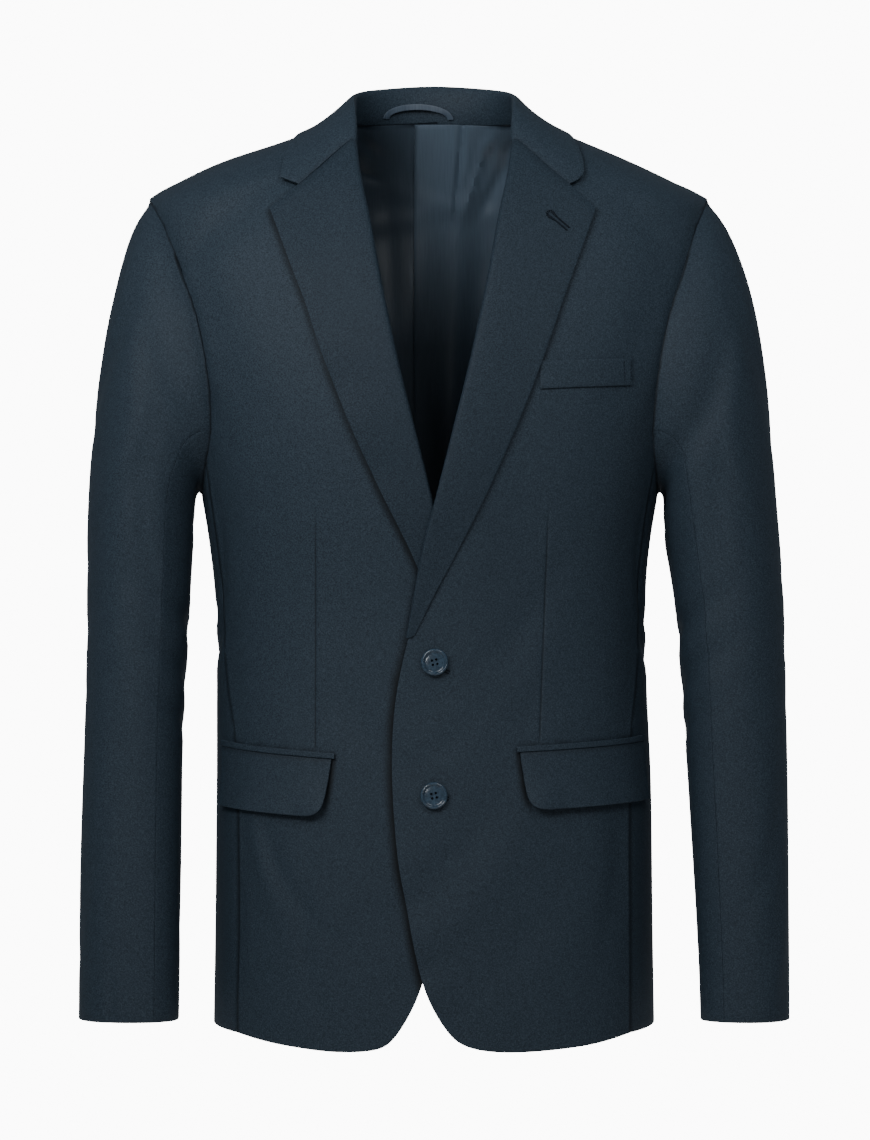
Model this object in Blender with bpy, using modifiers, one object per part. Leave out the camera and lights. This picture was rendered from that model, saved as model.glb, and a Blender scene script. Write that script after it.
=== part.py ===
"""Navy two-button notch-lapel blazer, in worn form and empty, with each cut-and-sewn piece as a solid.

The tables are in millimetres and degrees. Meshes are in metres, +Z up, the front faces -Y and the
wearer's left is +X. The origin is at the neck points' height, in the middle of the neck opening.
A side is +1 for the wearer's left and -1 for the wearer's right, and "out" counts toward that side.
"""
import math

import bmesh
import bpy
import numpy as np
from mathutils import Matrix

MM = 0.001
PART_NAME = "blazer"

# ---------------------------------------------------------------- driving dimensions, millimetres
CLOTH = 2.0
SLEEVE_CLOTH = 1.8
LAPEL_CLOTH = 2.0
SEAM_GAP = 0.3
GORGE_GAP = 0.7
LINING_CLOTH = 1.1
LINING_BEHIND = 3.0
LINING_LAP_GAP = 1.3
LINING_OVERLAP = 17.0
LINING_TURN = 9.0
LINING_FADE = 34.0
# Columns of the back's grid that the lining follows. The neck point is one of them.
LINING_COLUMNS = (0, 2, 5, 8, 11, 13, 15, 16)
LINING_INSET = 4.0
LINING_HEM = 18.0
LINING_UNDERLAP = 2.5
CLOSURE_FADE = (17.0, 78.0)
BUTTON_THICK = 4.0
BUTTON_STAND = 0.8
BUTTON_HOLE_RADIUS = 1.0
BUTTON_HOLE_OFFSET = 1.6
BUTTONS = {"button_upper": (0.5, -432.0), "button_lower": (0.0, -538.0)}

# Columns of the grids: how many strips each seam is cut into.
SEAM_STRIPS = 15
ARMHOLE_STRIPS = 10
ARMPIT_STRIPS = 6
SHOULDER_STRIPS = 11
NECK_FRONT_STRIPS = 4
NECK_BACK_STRIPS = 5
EDGE_STRIPS = 9
ROLL_STRIPS = SEAM_STRIPS + ARMHOLE_STRIPS - EDGE_STRIPS - NECK_FRONT_STRIPS

# Rings round the body: height, half width, centre front y, centre back y, y of the widest point,
# and the power of the superellipse (2 is an ellipse, more is squarer).
BODY_COLUMNS = ("height", "half_width", "front", "back", "middle", "power")
BODY_RINGS = (
    (-745, 181.5, -128, 123, 0, 2.5),
    (-712, 181.0, -127, 123, 0, 2.5),
    (-650, 180.0, -125, 122, 0, 2.5),
    (-600, 179.5, -123, 120, 0, 2.5),
    (-550, 179.0, -120, 117, 0, 2.45),
    (-500, 178.0, -116, 113, 0, 2.4),
    (-450, 176.5, -113, 108, 0, 2.4),
    (-400, 175.5, -113, 107, 0, 2.4),
    (-350, 179.0, -118, 113, 1, 2.4),
    (-300, 187.0, -124, 121, 2, 2.4),
    (-250, 198.0, -127, 126, 3, 2.4),
    (-200, 212.0, -125, 127, 4, 2.4),
    (-150, 222.0, -116, 125, 5, 2.4),
    (-100, 229.0, -101, 118, 6, 2.35),
    (-56, 230.0, -80, 108, 8, 2.3),
    (-39, 201.0, -71, 101, 9, 2.3),
    (-23, 167.0, -60, 95, 9, 2.25),
    (-7, 124.0, -50, 87, 10, 2.2),
    (0, 106.0, -44, 82, 10, 2.2),
    (8, 85.0, -36, 77, 10, 2.2),
    (16, 64.0, -30, 72, 10, 2.2),
)

# Front edges from the rounded hem corner up to the break of the lapel: x toward its side, height.
LEFT_EDGE = ((12, -728), (4.6, -718), (-2.6, -706), (-9.4, -690), (-14.2, -666), (-21.3, -627),
             (-28.4, -592), (-31.6, -556), (-33.6, -525), (-33.6, -494), (-31.6, -473),
             (-29, -449), (-24.5, -432), (-20, -413))
RIGHT_EDGE = ((31, -731), (22.4, -718), (15.4, -706), (8.2, -690), (3.2, -666), (-3.9, -627),
              (-11, -592), (-14.2, -556), (-17, -525), (-19.5, -494), (-19.5, -473),
              (-18, -449), (-15.5, -432), (-12.5, -413))
# Roll lines from the break up to the gorge.
ROLL_UPPER = ((4.5, -300), (8.2, -286), (20, -240), (32.8, -192), (41.5, -151), (46.4, -128),
              (51.8, -99), (60.2, -58), (65, -28), (66.5, -15))
LEFT_ROLL = ((-20, -413), (-15.5, -391), (-9.5, -353)) + ROLL_UPPER
RIGHT_ROLL = ((-12.5, -413), (-10, -391), (-6, -353)) + ROLL_UPPER
# Neckline of the front from the gorge to the neck point: degrees, height.
NECK_FRONT = ((24.7, -15), (32.5, -8), (44, -1), (62.5, 5), (90, 8))
NECK_BACK = ((90, 8), (108, 9), (126, 10.5), (144, 12), (162, 13.3), (180, 14))
# Hem from the rounded corner to the side seam: x toward its side, height.
LEFT_HEM = ((12, -728), (20, -734), (36, -739), (61, -741), (115, -738))
RIGHT_HEM = ((31, -731), (40, -737.5), (54, -740), (72, -741), (115, -737.5))
SIDE_HEM = ((56.5, -730), (90, -727), (124, -729))
# The back is shorter than the fronts, so it stays out of sight between their corners.
BACK_HEM = ((124, -729), (138, -724), (156, -714), (180, -709))
# Seams round the body: degrees from the centre front, height.
FRONT_SEAM = ((56.5, -730), (56.8, -716), (58.4, -552), (62, -483), (70, -435), (72, -388),
              (70.5, -330), (68.5, -271))
BACK_SEAM = ((124, -729), (123, -600), (120, -500), (115, -400), (113, -330), (112, -268))
ARMHOLE_FRONT = ((68.5, -271), (61.8, -240), (58.5, -215), (57, -190), (57, -160), (60.2, -127),
                 (66, -90), (74, -68), (90, -54))
ARMHOLE_BACK = ((112, -268), (118, -240), (122.5, -200), (123, -160), (120, -127), (113, -90),
                (105, -67), (90, -54))
ARMPIT = ((68.5, -271), (78, -291), (90, -299), (102, -290), (112, -268))

# The jacket hangs a little toward the wearer's right: how far its outer parts move, by height.
SETTLE = ((-745, 0.0), (-540, 0.0), (-500, 0.8), (-450, 2.0), (-400, 2.4), (-350, 3.6), (-300, 3.6),
          (-250, 1.8), (-200, 0.8), (-150, 1.0), (-100, 2.0), (-70, 3.6), (-56, 4.4), (-39, 6.6),
          (-23, 6.8), (-7, 5.6), (6, 2.0), (16, 0.0), (46, 0.0))
SETTLE_FROM = 105.0
SETTLE_FULL = 180.0

# The left front lies over the right one: how far its outer face stands off, by height.
CLOSURE_LIFT = ((-745, 2.7), (-480, 2.7), (-440, 3.9), (-413, 5.7), (-370, 6.3), (-330, 6.8),
                (-290, 7.2), (-250, 3.4), (-190, 0.0), (16, 0.0))

# Lapel: outer edge from the break to the tip, x toward its side, height.
LEFT_LAPEL_EDGE = ((-15, -411), (-10.5, -398), (-1, -380), (10, -360), (23, -334), (46, -288),
                   (67, -240), (86, -192), (101, -147), (117, -105), (130, -70))
RIGHT_LAPEL_EDGE = ((-7.5, -411), (-3, -397), (4, -379), (12, -358), (23, -334), (46, -288),
                    (67, -240), (86, -192), (101, -147), (117, -105), (130, -70))
NOTCH_INNER = (108, -51.1)
# Gap between front and lapel along the roll line, from the break (0) to the gorge (1).
LAPEL_COLUMNS = ("share", "at_fold", "at_edge")
LAPEL_BLOOM = ((0.0, 0.7, 0.5), (0.2, 1.0, 0.7), (0.4, 2.6, 1.8), (0.6, 4.6, 2.4), (1.0, 5.0, 2.6))

# Collar: crown of the fold and outer edge of the fall, from the gorge to the centre back.
# The crown is x toward its side, y, height. The edge is in degrees and height on the body.
COLLAR_CROWN = ((63, -46, -1), (64.5, -34, 13), (65.5, -15, 23.5), (66, 8, 30.5), (64, 28, 34.5),
                (55.5, 47, 38.5), (40.5, 61.5, 41.5), (21, 71, 44), (0, 74, 45.3))
COLLAR_EDGE = ((122, -45), (120.5, -30), (115, -12))
COLLAR_EDGE_BACK = ((90, 0), (115, 0), (132, 0), (148, 0), (164, 0), (180, 0))
COLLAR_REST = 2.2
# How closely the fall's lower part lies along the shoulder, at each of the same stations.
COLLAR_HUG = (0.2, 0.6, 1.0, 1.0, 0.9, 0.6, 0.3, 0.1, 0.0)
HUG_HANDLE = 24.0

# Armhole columns where the two sleeve seams start, counted from the shoulder down the front.
FOREARM_COLUMN = 9
HINDARM_COLUMN = 19
# Sleeve rings from the shoulder to the cuff: outer point, inner point, front y and back y.
SLEEVE_COLUMNS = ("outer_x_left", "outer_x_right", "outer_z", "inner_x_left", "inner_x_right",
                  "inner_z", "front", "back")
SLEEVE_RINGS = (
    (230.0, 230.0, -54, 187.0, 187.0, -299.0, -62, 77),
    (236.5, 236.0, -61.5, 189.0, 189.0, -296.8, -67, 80),
    (244.8, 244.8, -75, 191.2, 191.2, -298.5, -71, 82),
    (252.8, 252.8, -96, 192.2, 192.4, -303.0, -74, 83),
    (261.6, 260.6, -125, 192.2, 192.8, -309.0, -75, 82),
    (268.6, 268.6, -160, 191.6, 193.0, -317.0, -76, 81),
    (273.8, 274.2, -200, 191.8, 193.2, -327.0, -76, 79),
    (278.8, 278.2, -245, 192.6, 193.6, -340.0, -75, 76),
    (283.6, 280.2, -290, 196.0, 194.6, -357.0, -74, 72),
    (287.4, 281.2, -332, 198.7, 196.0, -379.0, -73, 68),
    (289.4, 281.5, -374, 200.9, 197.6, -405.0, -73, 63),
    (289.8, 281.9, -416, 203.0, 199.8, -437.0, -74, 57),
    (289.8, 283.0, -458, 204.6, 202.2, -471.0, -75, 51),
    (289.5, 285.2, -500, 205.8, 204.0, -507.0, -76, 44),
    (289.1, 287.2, -540, 207.4, 205.0, -544.0, -78, 37),
    (289.0, 288.2, -580, 209.6, 205.3, -582.0, -81, 30),
    (289.0, 288.5, -620, 211.8, 205.5, -621.0, -84, 24),
    (288.9, 288.6, -658, 213.6, 205.7, -658.5, -87, 18),
    (288.8, 288.6, -692, 215.0, 205.9, -692.0, -89.5, 13),
    (288.6, 288.6, -721, 215.8, 206.2, -721.0, -91.5, 9),
)
SLEEVE_POWER = 2.25
# Share of the armhole's own shape that is left in each of the first rings.
ARMHOLE_SHARE = (1.0, 0.86, 0.66, 0.44, 0.26, 0.12, 0.04)

# Pocket flaps: front end, back end (degrees), top and bottom heights at each end.
FLAPS = {
    1: {"front_x": 68.0, "back_degrees": 70.0, "front_top": -504.0, "back_top": -497.0,
        "front_bottom": -549.5, "back_bottom": -544.0},
    -1: {"front_x": 81.0, "back_degrees": 70.0, "front_top": -509.5, "back_top": -501.0,
         "front_bottom": -555.0, "back_bottom": -549.0},
}
FLAP_CORNER = 11.0
FLAP_SLANT = 6.0
FLAP_CLOTH = 1.8
FLAP_REST = 0.5
FLAP_BLOOM = 3.0
JETTING_TALL = 4.6
JETTING_CLOTH = 1.9
WELT = {"inner_x": 84.0, "outer_x": 159.0, "inner_top": -193.5, "outer_top": -190.0,
        "inner_bottom": -215.5, "outer_bottom": -211.5}
WELT_CLOTH = 1.5
REST = 0.35

# Loop at the back neck: arch along the stand.
LOOP_CENTRE_X = -13.0
LOOP_HALF_SPAN = 27.0
LOOP_WIDE = 5.0
LOOP_CLOTH = 1.2

# Main folds. On the body: degrees toward the side, height, length, width, lean, depth.
FOLD_COLUMNS = ("side", "degrees", "height", "length", "width", "lean", "depth")
BODY_FOLDS = (
    (1, 48, -150, 150, 30, 12, 2.2),
    (-1, 49, -156, 140, 32, 14, 2.0),
    (1, 30, -455, 110, 22, 62, 1.4),
    (-1, 32, -462, 120, 24, 60, 1.6),
    (1, 62, -350, 110, 22, -18, 1.8),
    (-1, 63, -345, 120, 22, -16, 1.9),
    (1, 128, -190, 170, 30, -14, 2.6),
    (-1, 127, -184, 170, 30, -12, 2.4),
    (1, 148, -420, 130, 30, 66, 2.0),
    (-1, 145, -428, 120, 28, 64, 1.8),
    (1, 140, -640, 180, 30, 4, 2.0),
    (-1, 143, -632, 170, 30, 6, 2.2),
)
# On the sleeves: column round the sleeve, ring, length in rings, width in columns, lean, depth.
SLEEVE_FOLD_COLUMNS = ("side", "column", "ring", "rings_long", "columns_wide", "lean", "depth")
SLEEVE_FOLDS = (
    (1, 7.0, 7.5, 4.0, 1.5, 0.35, 2.4),
    (-1, 7.2, 7.8, 4.2, 1.5, 0.32, 2.6),
    (1, 4.0, 11.6, 1.6, 2.4, 0.9, 1.6),
    (-1, 4.4, 12.0, 1.7, 2.4, 0.8, 1.7),
    (1, 21.0, 7.0, 4.0, 1.6, -0.35, 2.8),
    (-1, 20.8, 7.2, 4.0, 1.6, -0.32, 2.8),
    (1, 18.0, 11.0, 1.3, 3.0, -0.9, 2.2),
    (-1, 18.4, 11.4, 1.3, 3.0, -0.8, 2.2),
)

# Arc of one degree as a share of the half width, the depths below the neck where the body's folds
# start and reach their full depth, and the sleeve rings where theirs do.
ARC_PER_DEGREE = 0.0155
FOLDS_START = 12.0
FOLDS_FULL = 82.0
SLEEVE_FOLDS_FROM = (2.0, 5.0)

COLOURS = {
    "cloth": (0.023, 0.038, 0.051, 1.0),
    "collar": (0.022, 0.036, 0.049, 1.0),
    "lining": (0.025, 0.036, 0.047, 1.0),
    "button": (0.020, 0.027, 0.037, 1.0),
    "loop": (0.050, 0.062, 0.082, 1.0),
}
ROUGHNESS = {"cloth": 0.85, "collar": 0.85, "lining": 0.35, "button": 0.3, "loop": 0.45}


# ---------------------------------------------------------------- curves
def smooth_curve(keys, values):
    """A curve through the rows of a table that never runs past them. The keys rise."""
    keys = np.asarray(keys, dtype=float)
    values = np.asarray(values, dtype=float)
    steps = np.diff(keys)
    slopes = np.diff(values) / steps
    tangents = np.zeros(len(keys))
    tangents[0] = slopes[0]
    tangents[-1] = slopes[-1]
    for row in range(1, len(keys) - 1):
        if slopes[row - 1] * slopes[row] > 0.0:
            before = 2.0 * steps[row] + steps[row - 1]
            after = steps[row] + 2.0 * steps[row - 1]
            tangents[row] = (before + after) / (before / slopes[row - 1] + after / slopes[row])

    def value(key):
        key = min(max(key, keys[0]), keys[-1])
        row = min(int(np.searchsorted(keys, key, side="right")) - 1, len(keys) - 2)
        t = (key - keys[row]) / steps[row]
        start = (1.0 + 2.0 * t) * (1.0 - t) ** 2 * values[row]
        end = t * t * (3.0 - 2.0 * t) * values[row + 1]
        leave = t * (1.0 - t) ** 2 * steps[row] * tangents[row]
        arrive = t * t * (t - 1.0) * steps[row] * tangents[row + 1]
        return start + end + leave + arrive

    return value


def fade(value, start, end):
    """Goes smoothly from 0 at the start to 1 at the end."""
    t = min(max((value - start) / (end - start), 0.0), 1.0)
    return t * t * (3.0 - 2.0 * t)


def unit(vector):
    return vector / max(float(np.linalg.norm(vector)), 1e-9)


BODY = {}
for place, column_name in enumerate(BODY_COLUMNS):
    BODY[column_name] = smooth_curve([row[0] for row in BODY_RINGS],
                                     [row[place] for row in BODY_RINGS])
closure_lift = smooth_curve([row[0] for row in CLOSURE_LIFT], [row[1] for row in CLOSURE_LIFT])
settle = smooth_curve([row[0] for row in SETTLE], [row[1] for row in SETTLE])
bloom_at_fold = smooth_curve([row[0] for row in LAPEL_BLOOM], [row[1] for row in LAPEL_BLOOM])
bloom_at_edge = smooth_curve([row[0] for row in LAPEL_BLOOM], [row[2] for row in LAPEL_BLOOM])


# ---------------------------------------------------------------- the body's surface
def body_point(degrees, height):
    """Point of the body's outer surface. Degrees run from the centre front toward +X."""
    angle = math.radians(degrees)
    power = 2.0 / BODY["power"](height)
    across = math.copysign(abs(math.sin(angle)) ** power, math.sin(angle))
    along = math.copysign(abs(math.cos(angle)) ** power, math.cos(angle))
    middle = BODY["middle"](height)
    if along > 0.0:
        depth = middle - BODY["front"](height)
    else:
        depth = BODY["back"](height) - middle
    return np.array((BODY["half_width"](height) * across, middle - depth * along, height))


def body_normal(degrees, height):
    """Outward direction of the body's surface."""
    around = body_point(degrees + 1.5, height) - body_point(degrees - 1.5, height)
    upward = body_point(degrees, height + 2.0) - body_point(degrees, height - 2.0)
    return unit(np.cross(around, upward))


def degrees_at(x, height):
    """Degrees on the front of the body at a distance across."""
    share = min(abs(x) / BODY["half_width"](height), 1.0)
    angle = math.degrees(math.asin(share ** (BODY["power"](height) / 2.0)))
    return math.copysign(angle, x)


def fold_profile(offset):
    """Section of a fold: a trough in the middle and a low ridge each side. The offset is in widths."""
    return 2.0 * math.exp(-(2.0 * offset) ** 2) - math.exp(-offset ** 2)


def fold_at(degrees, height):
    """Depth of the worn folds: below zero in a trough, a little above it beside one."""
    total = 0.0
    for side, at, level, length, width, lean, depth in BODY_FOLDS:
        arc = (degrees * side - at) * BODY["half_width"](height) * ARC_PER_DEGREE
        rise = height - level
        tilt = math.radians(lean)
        across = arc * math.cos(tilt) - rise * math.sin(tilt)
        along = arc * math.sin(tilt) + rise * math.cos(tilt)
        reach = math.exp(-(2.0 * along / length) ** 2)
        total -= depth * reach * fold_profile(across / width)
    return total * fade(-height, FOLDS_START, FOLDS_FULL)


def skin(degrees, height, off=0.0):
    """Point of the worn surface, off it by some millimetres."""
    normal = body_normal(degrees, height)
    return body_point(degrees, height) + normal * (off + fold_at(degrees, height))


def lift_of_left(degrees, height):
    """How far the left front stands off where it laps over the right one."""
    x = body_point(degrees, height)[0]
    if abs(degrees) > 60.0:
        return 0.0
    return closure_lift(height) * (1.0 - fade(x, CLOSURE_FADE[0], CLOSURE_FADE[1]))


def front_skin(side, degrees, height, off=0.0):
    """Point on a front, in degrees toward its side."""
    lift = lift_of_left(degrees, height) if side > 0 else 0.0
    return skin(side * degrees, height, off + lift)


# ---------------------------------------------------------------- sampled seams
def on_body(points):
    """Turns x and height pairs into degrees and height pairs."""
    return [(degrees_at(x, height), height) for x, height in points]


def sampled(points, strips):
    """Points at even steps of length along a smooth line through degree and height pairs."""
    places = [body_point(degrees, height) for degrees, height in points]
    lengths = [0.0]
    for before, after in zip(places[:-1], places[1:]):
        lengths.append(lengths[-1] + float(np.linalg.norm(after - before)))
    around = smooth_curve(lengths, [point[0] for point in points])
    upward = smooth_curve(lengths, [point[1] for point in points])
    steps = [lengths[-1] * step / strips for step in range(strips + 1)]
    return [(around(step), upward(step)) for step in steps]


def length_shares(points):
    """Share of a line's length at each of its points."""
    places = [body_point(degrees, height) for degrees, height in points]
    lengths = [0.0]
    for before, after in zip(places[:-1], places[1:]):
        lengths.append(lengths[-1] + float(np.linalg.norm(after - before)))
    return [length / lengths[-1] for length in lengths]


def flat_pairs(points):
    """Degree and height pairs as distances across and heights, the way they look from the front."""
    return np.array([(body_point(degrees, height)[0], height) for degrees, height in points])


def patch(left, right, bottom, top, behind=False):
    """Grid of degree and height pairs that fills four lines of samples on the front or back."""
    rise_left = length_shares(left)
    rise_right = length_shares(right)
    run_bottom = length_shares(bottom)
    run_top = length_shares(top)
    borders = (left, right, bottom, top)
    left, right, bottom, top = (flat_pairs(border) for border in borders)
    rows = []
    last_row = len(left) - 1
    last_column = len(bottom) - 1
    for row in range(last_row + 1):
        line = []
        for column in range(last_column + 1):
            across = column / last_column
            up = rise_left[row] * (1.0 - across) + rise_right[row] * across
            share = run_bottom[column] * (1.0 - up) + run_top[column] * up
            sides = left[row] * (1.0 - share) + right[row] * share
            ends = bottom[column] * (1.0 - up) + top[column] * up
            corners = (bottom[0] * (1.0 - share) + bottom[-1] * share) * (1.0 - up)
            corners = corners + (top[0] * (1.0 - share) + top[-1] * share) * up
            x, height = sides + ends - corners
            degrees = degrees_at(x, height)
            line.append((180.0 - degrees if behind else degrees, height))
        rows.append(line)
    for row in range(last_row + 1):
        rows[row][0] = borders[0][row]
        rows[row][last_column] = borders[1][row]
    for column in range(last_column + 1):
        rows[0][column] = borders[2][column]
        rows[last_row][column] = borders[3][column]
    return rows


def round_patch(left, right, bottom, top):
    """Grid of degree and height pairs for a piece that wraps round the side of the body."""
    last_row = len(left) - 1
    last_column = len(bottom) - 1
    rise_left = length_shares(left)
    rise_right = length_shares(right)
    left, right = np.array(left), np.array(right)
    bottom, top = np.array(bottom), np.array(top)
    rows = []
    for row in range(last_row + 1):
        line = []
        for column in range(last_column + 1):
            across = column / last_column
            up = rise_left[row] * (1.0 - across) + rise_right[row] * across
            sides = left[row] * (1.0 - across) + right[row] * across
            ends = bottom[column] * (1.0 - up) + top[column] * up
            corners = (bottom[0] * (1.0 - across) + bottom[-1] * across) * (1.0 - up)
            corners = corners + (top[0] * (1.0 - across) + top[-1] * across) * up
            line.append(tuple(sides + ends - corners))
        rows.append(line)
    return rows


def pulled_in(grid, left=0.0, right=0.0, bottom=0.0, top=0.0):
    """Moves the edges of a grid of points in along the surface, square to each edge."""
    grid = np.array(grid, dtype=float)
    moved = grid.copy()
    rows, columns = grid.shape[0], grid.shape[1]

    def shift(row, column, next_row, next_column, gap, along):
        inward = grid[next_row, next_column] - grid[row, column]
        inward = unit(inward - along * float(np.dot(inward, along)))
        moved[row, column] += inward * gap

    for row in range(rows):
        along = unit(grid[min(row + 1, rows - 1), 0] - grid[max(row - 1, 0), 0])
        shift(row, 0, row, 1, left, along)
        along = unit(grid[min(row + 1, rows - 1), -1] - grid[max(row - 1, 0), -1])
        shift(row, columns - 1, row, columns - 2, right, along)
    for column in range(columns):
        along = unit(grid[0, min(column + 1, columns - 1)] - grid[0, max(column - 1, 0)])
        shift(0, column, 1, column, bottom, along)
        along = unit(grid[-1, min(column + 1, columns - 1)] - grid[-1, max(column - 1, 0)])
        shift(rows - 1, column, rows - 2, column, top, along)
    return moved


# ---------------------------------------------------------------- solids
def remove_everything():
    """Starts from an empty scene."""
    for thing in list(bpy.data.objects):
        bpy.data.objects.remove(thing, do_unlink=True)


def new_collection(name):
    collection = bpy.data.collections.new(name)
    bpy.context.scene.collection.children.link(collection)
    return collection


def material_for(name, kind):
    """A plain material of the piece's own."""
    material = bpy.data.materials.new(name + "_" + kind)
    material.use_nodes = True
    shader = material.node_tree.nodes["Principled BSDF"]
    shader.inputs["Base Color"].default_value = COLOURS[kind]
    shader.inputs["Roughness"].default_value = ROUGHNESS[kind]
    shader.inputs["Metallic"].default_value = 0.0
    return material


def add_object(name, mesh, kind, collection):
    piece = bpy.data.objects.new(name, mesh)
    collection.objects.link(piece)
    mesh.materials.append(material_for(name, kind))
    return piece


def settled(point):
    """A point of the even jacket where the worn one has it, in metres."""
    share = fade(abs(point[0]), SETTLE_FROM, SETTLE_FULL)
    return (point - np.array((settle(point[2]) * share, 0.0, 0.0))) * MM


def wall(name, right_side, wrong_side, kind, collection):
    """Closed solid between two grids of points, which are the two faces of the cloth."""
    right_side = np.array(right_side)
    wrong_side = np.array(wrong_side)
    rows, columns = right_side.shape[0], right_side.shape[1]
    body = bmesh.new()
    faces = []
    for grid in (right_side, wrong_side):
        faces.append([[body.verts.new(settled(grid[row, column])) for column in range(columns)]
                      for row in range(rows)])
    front, back = faces
    for row in range(rows - 1):
        for column in range(columns - 1):
            body.faces.new((front[row][column], front[row][column + 1],
                            front[row + 1][column + 1], front[row + 1][column]))
            body.faces.new((back[row][column], back[row + 1][column],
                            back[row + 1][column + 1], back[row][column + 1]))
    rim = [(0, column) for column in range(columns)]
    rim += [(row, columns - 1) for row in range(1, rows)]
    rim += [(rows - 1, column) for column in range(columns - 2, -1, -1)]
    rim += [(row, 0) for row in range(rows - 2, 0, -1)]
    for here, after in zip(rim, rim[1:] + rim[:1]):
        body.faces.new((front[here[0]][here[1]], back[here[0]][here[1]],
                        back[after[0]][after[1]], front[after[0]][after[1]]))
    bmesh.ops.recalc_face_normals(body, faces=body.faces)
    mesh = bpy.data.meshes.new(name)
    body.to_mesh(mesh)
    body.free()
    return add_object(name, mesh, kind, collection)


def side_name(side):
    return "left" if side > 0 else "right"


def beyond_edge(samples, index, toward, place):
    """Direction along the surface, square to a line of samples, that points to one side of it."""
    before = place(samples[max(index - 1, 0)])
    after = place(samples[min(index + 1, len(samples) - 1)])
    here = place(samples[index])
    normal = body_normal(*samples[index])
    across = unit(np.cross(unit(after - before), normal))
    if float(np.dot(across, toward - here)) < 0.0:
        across = -across
    return across


# ---------------------------------------------------------------- seam lines that pieces share
SHOULDER = sampled(((90, 8), (90, 0), (90, -7), (90, -23), (90, -39), (90, -54)), SHOULDER_STRIPS)
SIDE_SEAM_FRONT = sampled(FRONT_SEAM, SEAM_STRIPS)
SIDE_SEAM_BACK = sampled(BACK_SEAM, SEAM_STRIPS)
ARM_FRONT = sampled(ARMHOLE_FRONT, ARMHOLE_STRIPS)
ARM_BACK = sampled(ARMHOLE_BACK, ARMHOLE_STRIPS)
ARM_PIT = sampled(ARMPIT, ARMPIT_STRIPS)
NECK_SEAM_FRONT = sampled(NECK_FRONT, NECK_FRONT_STRIPS)
NECK_SEAM_BACK = sampled(NECK_BACK, NECK_BACK_STRIPS)
EDGES = {1: sampled(on_body(LEFT_EDGE), EDGE_STRIPS), -1: sampled(on_body(RIGHT_EDGE), EDGE_STRIPS)}
ROLLS = {1: sampled(on_body(LEFT_ROLL), ROLL_STRIPS), -1: sampled(on_body(RIGHT_ROLL), ROLL_STRIPS)}
HEMS = {1: LEFT_HEM, -1: RIGHT_HEM}
LAPEL_EDGES = {1: sampled(on_body(LEFT_LAPEL_EDGE), ROLL_STRIPS),
               -1: sampled(on_body(RIGHT_LAPEL_EDGE), ROLL_STRIPS)}


def faces_of(grid, place, off, thick):
    """The two faces of a cloth over a grid of degree and height pairs."""
    outer = [[place(degrees, height, off) for degrees, height in row] for row in grid]
    inner = [[place(degrees, height, off - thick) for degrees, height in row] for row in grid]
    return outer, inner


def build_front(side, collection):
    left = EDGES[side] + ROLLS[side][1:] + NECK_SEAM_FRONT[1:]
    right = SIDE_SEAM_FRONT + ARM_FRONT[1:]
    hem = sampled(on_body(HEMS[side]) + [SIDE_SEAM_FRONT[0]], SHOULDER_STRIPS)
    grid = patch(left, right, hem, SHOULDER)

    def place(degrees, height, off):
        return front_skin(side, degrees, height, off)

    outer, inner = faces_of(grid, place, 0.0, CLOTH)
    half = 0.5 * SEAM_GAP
    outer = pulled_in(outer, right=half, top=half)
    inner = pulled_in(inner, right=half, top=half)
    return wall("front_" + side_name(side), outer, inner, "cloth", collection)


def build_side(side, collection):
    hem = sampled(SIDE_HEM, ARMPIT_STRIPS)
    grid = round_patch(SIDE_SEAM_FRONT, SIDE_SEAM_BACK, hem, ARM_PIT)

    def place(degrees, height, off):
        return skin(side * degrees, height, off)

    outer, inner = faces_of(grid, place, 0.0, CLOTH)
    half = 0.5 * SEAM_GAP
    outer = pulled_in(outer, left=half, right=half, top=half)
    inner = pulled_in(inner, left=half, right=half, top=half)
    return wall("side_" + side_name(side), outer, inner, "cloth", collection)


def back_grid():
    """Grid of the back half, from the side seam and armhole to the centre seam."""
    outward = SIDE_SEAM_BACK + ARM_BACK[1:]
    strips = len(outward) - 1
    centre = sampled([BACK_HEM[-1]] + [(180, height) for height in (-550, -400, -250, -100, -40, 14)],
                     strips)
    hem = sampled(BACK_HEM, SHOULDER_STRIPS + NECK_BACK_STRIPS)
    top = SHOULDER[::-1] + NECK_SEAM_BACK[1:]
    return patch(outward, centre, hem, top, behind=True)


def build_back(side, collection):
    def place(degrees, height, off):
        return skin(side * degrees, height, off)

    outer, inner = faces_of(back_grid(), place, 0.0, CLOTH)
    half = 0.5 * SEAM_GAP
    outer = pulled_in(outer, left=half, right=half, top=half)
    inner = pulled_in(inner, left=half, right=half, top=half)
    return wall("back_" + side_name(side), outer, inner, "cloth", collection)


def build_lining(side, collection):
    """Half of the back lining. The left half laps over the right one in a pleat."""
    lap = LINING_CLOTH + LINING_LAP_GAP
    grid = []
    for row in back_grid():
        line = [row[column] for column in LINING_COLUMNS]
        height = line[-1][1]
        if side > 0:
            line = line[:-1]
            for x in (LINING_TURN, -LINING_OVERLAP):
                line.append((180.0 - degrees_at(x, height), height))
        grid.append(line)

    def place(degrees, height, off):
        x = body_point(degrees, height)[0]
        under = lap * fade(-x, -LINING_FADE, -LINING_TURN) if side > 0 else 0.0
        return skin(side * degrees, height, off - CLOTH - LINING_BEHIND - under)

    outer, inner = faces_of(grid, place, 0.0, LINING_CLOTH)
    centre_gap = 0.0 if side > 0 else -LINING_UNDERLAP
    inset = {"left": LINING_INSET, "right": centre_gap, "bottom": LINING_HEM, "top": LINING_INSET}
    outer = pulled_in(outer, **inset)
    inner = pulled_in(inner, **inset)
    return wall("lining_back_" + side_name(side), outer, inner, "lining", collection)


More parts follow.
